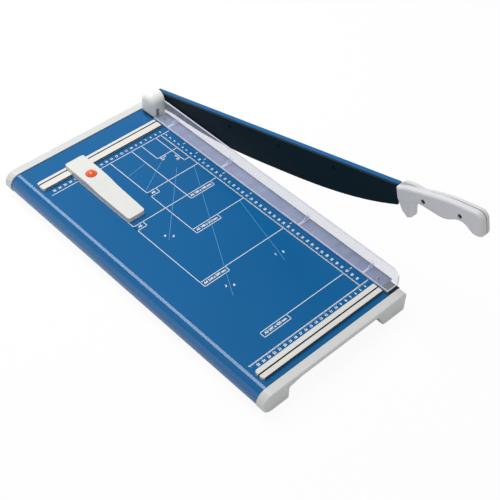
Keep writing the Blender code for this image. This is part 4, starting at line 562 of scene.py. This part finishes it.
# Painted highlights at the ribs' feet: the moulding is made more opaque there.
low_part = add(tree, "ShaderNodeMath", {"operation": "LESS_THAN", 1: at(0, 0, RIB_HIGHLIGHT_TOP).z},
               {0: spot.outputs["Z"]})
for rib_y in RIB_PLACES:
    rib = add(tree, "ShaderNodeMath", {"operation": "COMPARE", 1: at(0, rib_y, 0).y,
                                       2: RIB_REACH * MILLIMETRE}, {0: spot.outputs["Y"]})
    rib_foot_highlight = add(tree, "ShaderNodeMath", {"operation": "MULTIPLY"},
                   {0: rib.outputs["Value"], 1: low_part.outputs["Value"]})
    opacity_and_highlights = add(tree, "ShaderNodeMath",
              {"operation": "MULTIPLY_ADD", 1: RIB_HIGHLIGHT_STRENGTH, "use_clamp": True},
              {0: rib_foot_highlight.outputs["Value"], 2: opacity_and_highlights.outputs[0]})
tree.links.new(opacity_and_highlights.outputs[0], shader.inputs["Alpha"])
dress(acrylic, "blade_guard")
turned_steel = surface("turned_bright_steel", "DADCE0", "C8CBD0", 10, 0.5, 0.005, (0.3, 0.4),
                       stretch=(1, 1, 3), Metallic=1.0)
dress(turned_steel, "guard_post_1", "guard_post_2", "gauge_guide", "pivot_disc_spring")

# Coil springs: round spring wire wound on a helix of three turns.
SPRING_TURNS = 3.0
coils, given, realize = plant("coil_spring", {
    "Turns": "Float", "Radius": "Float", "Height": "Float", "Wire": "Float"}, turned_steel)
helix = add(coils, "GeometryNodeCurveSpiral", {"Resolution": 20}, {
    "Rotations": given.outputs["Turns"], "Start Radius": given.outputs["Radius"],
    "End Radius": given.outputs["Radius"], "Height": given.outputs["Height"]})
wire = add(coils, "GeometryNodeCurvePrimitiveCircle", {"Resolution": 8},
           {"Radius": given.outputs["Wire"]})
tube = add(coils, "GeometryNodeCurveToMesh", {"Fill Caps": True}, {
    "Curve": helix.outputs["Curve"], "Profile Curve": wire.outputs["Curve"]})
coils.links.new(tube.outputs["Mesh"], realize.inputs["Geometry"])

for node, foot, top, wire_radius in (("guard_spring_1", "base", "guard", 0.28),
                                     ("guard_spring_2", "base", "guard", 0.28),
                                     ("gauge_button_spring", "gauge", "button", 0.3)):
    low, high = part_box(node)
    thin = wire_radius * MILLIMETRE
    middle_x, middle_y = (low.x + high.x) / 2, (low.y + high.y) / 2
    spring = grow(coils, {"Turns": SPRING_TURNS, "Radius": (high.x - low.x) / 2 - thin,
                          "Height": high.z - low.z - 2 * thin, "Wire": thin})
    spring.transform(Matrix.Translation((middle_x, middle_y, low.z + thin)))
    spring_mesh = bmesh.new()
    spring_mesh.from_mesh(spring)
    piece = keep(node + "_coil", spring_mesh, turned_steel, None)
    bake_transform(piece)
    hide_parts(node)


# Blade, bar and rivets
# The upper blade is hardened steel with a black burnished face, ground along its length; the
# bar that stiffens it is enamelled like the table, and three rivets hold them together.

BLADE_REST_ANGLE = 15.53
burnished = surface("burnished_blade_steel", "0B1E24", "07161B", 60, 0.8, 0.004, (0.4, 0.5),
                    stretch=(1, 0.06, 1), turn=BLADE_REST_ANGLE, Specular_IOR_Level=0.12)
dress(burnished, "upper_blade")
rivet_black = surface("blackened_rivet_steel", "040506", "090A0C", 3, 0.5, 0.01, (0.5, 0.6),
                      Specular_IOR_Level=0.1)
dress(rivet_black, "blade_rivet_1", "blade_rivet_2", "blade_rivet_3")
bar_enamel = surface("satin_powder_enamel_bar", "04609C", "035588", 120, 2.0, 0.008,
                     (0.34, 0.42), Specular_IOR_Level=0.05, Coat_Weight=0.1, Coat_Roughness=0.12)
dress(bar_enamel, "lever_bar")


# Handle
# Two moulded grey ABS halves screwed together on the bar's tang, with a seam along the middle
# and two sunk black screws from the left.

SEAM_X, SEAM_REACH, SEAM_START = 5.6, 0.55, -505.0
handle_abs = surface("moulded_handle_abs", "DADADD", "D2D2D6", 80, 0.9, 0.01, (0.36, 0.46))
tree = handle_abs.node_tree
shader = tree.nodes["Principled BSDF"]
pale = shader.inputs["Base Color"].links[0].from_socket
place = add(tree, "ShaderNodeTexCoord")
spot = add(tree, "ShaderNodeSeparateXYZ", None, {"Vector": place.outputs["Object"]})
seam = add(tree, "ShaderNodeMath", {
    "operation": "COMPARE", 1: at(SEAM_X, 0, 0).x, 2: SEAM_REACH * MILLIMETRE},
    {0: spot.outputs["X"]})
grip = add(tree, "ShaderNodeMath", {"operation": "LESS_THAN", 1: at(0, SEAM_START, 0).y},
           {0: spot.outputs["Y"]})
both = add(tree, "ShaderNodeMath", {"operation": "MULTIPLY"},
           {0: seam.outputs["Value"], 1: grip.outputs["Value"]})
parted = add(tree, "ShaderNodeMix", {"data_type": "RGBA", 7: linear("55565A")},
             {0: both.outputs["Value"], 6: pale})
tree.links.new(parted.outputs[2], shader.inputs["Base Color"])
dress(handle_abs, "handle_left", "handle_right")
dress(acetal, "handle_screw_1", "handle_screw_2")
recess_mesh = bmesh.new()
# Painted shade in the cross recesses of the handle screws.
add_recesses(recess_mesh, ("handle_screw_1", "handle_screw_2"), (-1, 0, 0))
keep("handle_screw_recesses", recess_mesh, recess_dark, "lever")


# Pivot
# A moulded hood in off-white ABS covers the pivot. Bushing and thrust washer are sintered
# bronze, open-pored and dull.

hood_abs = surface("moulded_white_abs", "F0F0EC", "E9E9E6", 70, 0.9, 0.01, (0.36, 0.46))
dress(hood_abs, "pivot_housing")
bronze = surface("sintered_bronze", "B08050", "94683C", 3, 0.35, 0.015, (0.4, 0.55),
                 Metallic=1.0)
dress(bronze, "pivot_bushing", "thrust_washer")


# Back gauge
# A moulded light grey arm that slides on the rear rail, with an orange push button which frees
# it. The button is glossier than the arm.

gauge_abs = surface("moulded_gauge_abs", "E0E1DC", "D8D9D5", 70, 0.9, 0.01, (0.36, 0.46))
dress(gauge_abs, "back_gauge_arm")
orange = surface("glossy_orange_abs", "F06A2E", "E4541F", 8, 1.2, 0.03, (0.18, 0.3),
                 Coat_Weight=0.4, Coat_Roughness=0.1)
dress(orange, "gauge_button")


# Studio
# A plain white floor and sky, one soft lamp above the rear, and the camera where the photograph
# was taken from.

camera = bpy.data.cameras.new("camera")
camera.lens = 79.58
eye = bpy.data.objects.new("camera", camera)
eye.location = (-0.77800, -0.81909, 1.19644)
eye.rotation_euler = [math.radians(turn) for turn in (43.9322, -1.996, -43.4332)]
bpy.context.scene.collection.objects.link(eye)
bpy.context.scene.camera = eye
bpy.context.scene.view_settings.view_transform = "Standard"

FLOOR_REACH, FLOOR_Z = 6, -0.0004
FLOOR_GLOW_SHARE = 0.93
floor_mesh = bpy.data.meshes.new("floor")
floor_mesh.from_pydata([(x * FLOOR_REACH, y * FLOOR_REACH, FLOOR_Z)
                        for x, y in ((-1, -1), (1, -1), (1, 1), (-1, 1))], [], [(0, 1, 2, 3)])
floor = bpy.data.objects.new("floor", floor_mesh)
bpy.context.scene.collection.objects.link(floor)
pale_floor = bpy.data.materials.new("white_paper_floor")
pale_floor.use_nodes = True
tree = pale_floor.node_tree
tree.nodes.clear()
paper = add(tree, "ShaderNodeBsdfDiffuse", {"Color": linear("F2F2F2")})
glow = add(tree, "ShaderNodeEmission", {"Strength": 1.0})
rays = add(tree, "ShaderNodeLightPath")
seen = add(tree, "ShaderNodeMath", {"operation": "MAXIMUM"},
           {0: rays.outputs["Is Camera Ray"], 1: rays.outputs["Is Transmission Ray"]})
shown = add(tree, "ShaderNodeMath", {"operation": "MULTIPLY", 1: FLOOR_GLOW_SHARE},
            {0: seen.outputs["Value"]})
blend = add(tree, "ShaderNodeMixShader", None, {
    0: shown.outputs["Value"], 1: paper.outputs["BSDF"], 2: glow.outputs["Emission"]})
add(tree, "ShaderNodeOutputMaterial", None, {"Surface": blend.outputs["Shader"]})
floor_mesh.materials.append(pale_floor)

# The sky lights the object at half strength. In its gloss it is white near the horizon and
# dark overhead, so that the enamel keeps its colour. The camera sees plain white.
SKY_STRENGTH = 0.5
sky = bpy.data.worlds.new("sky")
sky.use_nodes = True
bpy.context.scene.world = sky
tree = sky.node_tree
tree.nodes.clear()
rays = add(tree, "ShaderNodeLightPath")
compass = add(tree, "ShaderNodeTexCoord")
height = add(tree, "ShaderNodeSeparateXYZ", None, {"Vector": compass.outputs["Generated"]})
ceiling = add(tree, "ShaderNodeMapRange", {"From Min": 0.35, "From Max": 0.72, "To Min": 1.0,
                                           "To Max": 0.05}, {"Value": height.outputs["Z"]})
mirrored = add(tree, "ShaderNodeMix", {2: SKY_STRENGTH}, {0: rays.outputs["Is Glossy Ray"],
                                                          3: ceiling.outputs["Result"]})
seen = add(tree, "ShaderNodeMath", {"operation": "MAXIMUM"},
           {0: rays.outputs["Is Camera Ray"], 1: rays.outputs["Is Transmission Ray"]})
level = add(tree, "ShaderNodeMix", {3: 1.0}, {0: seen.outputs["Value"],
                                              2: mirrored.outputs[0]})
air = add(tree, "ShaderNodeBackground", {"Color": (1, 1, 1, 1)},
          {"Strength": level.outputs[0]})
add(tree, "ShaderNodeOutputWorld", None, {"Surface": air.outputs["Background"]})

lamp = bpy.data.lights.new("strip_lamp", "AREA")
lamp.shape = "RECTANGLE"
lamp.energy, lamp.size, lamp.size_y = 23.0, 0.7, 1.8
holder = bpy.data.objects.new("strip_lamp", lamp)
holder.location = (0.0, 0.85, 1.55)
bpy.context.scene.collection.objects.link(holder)
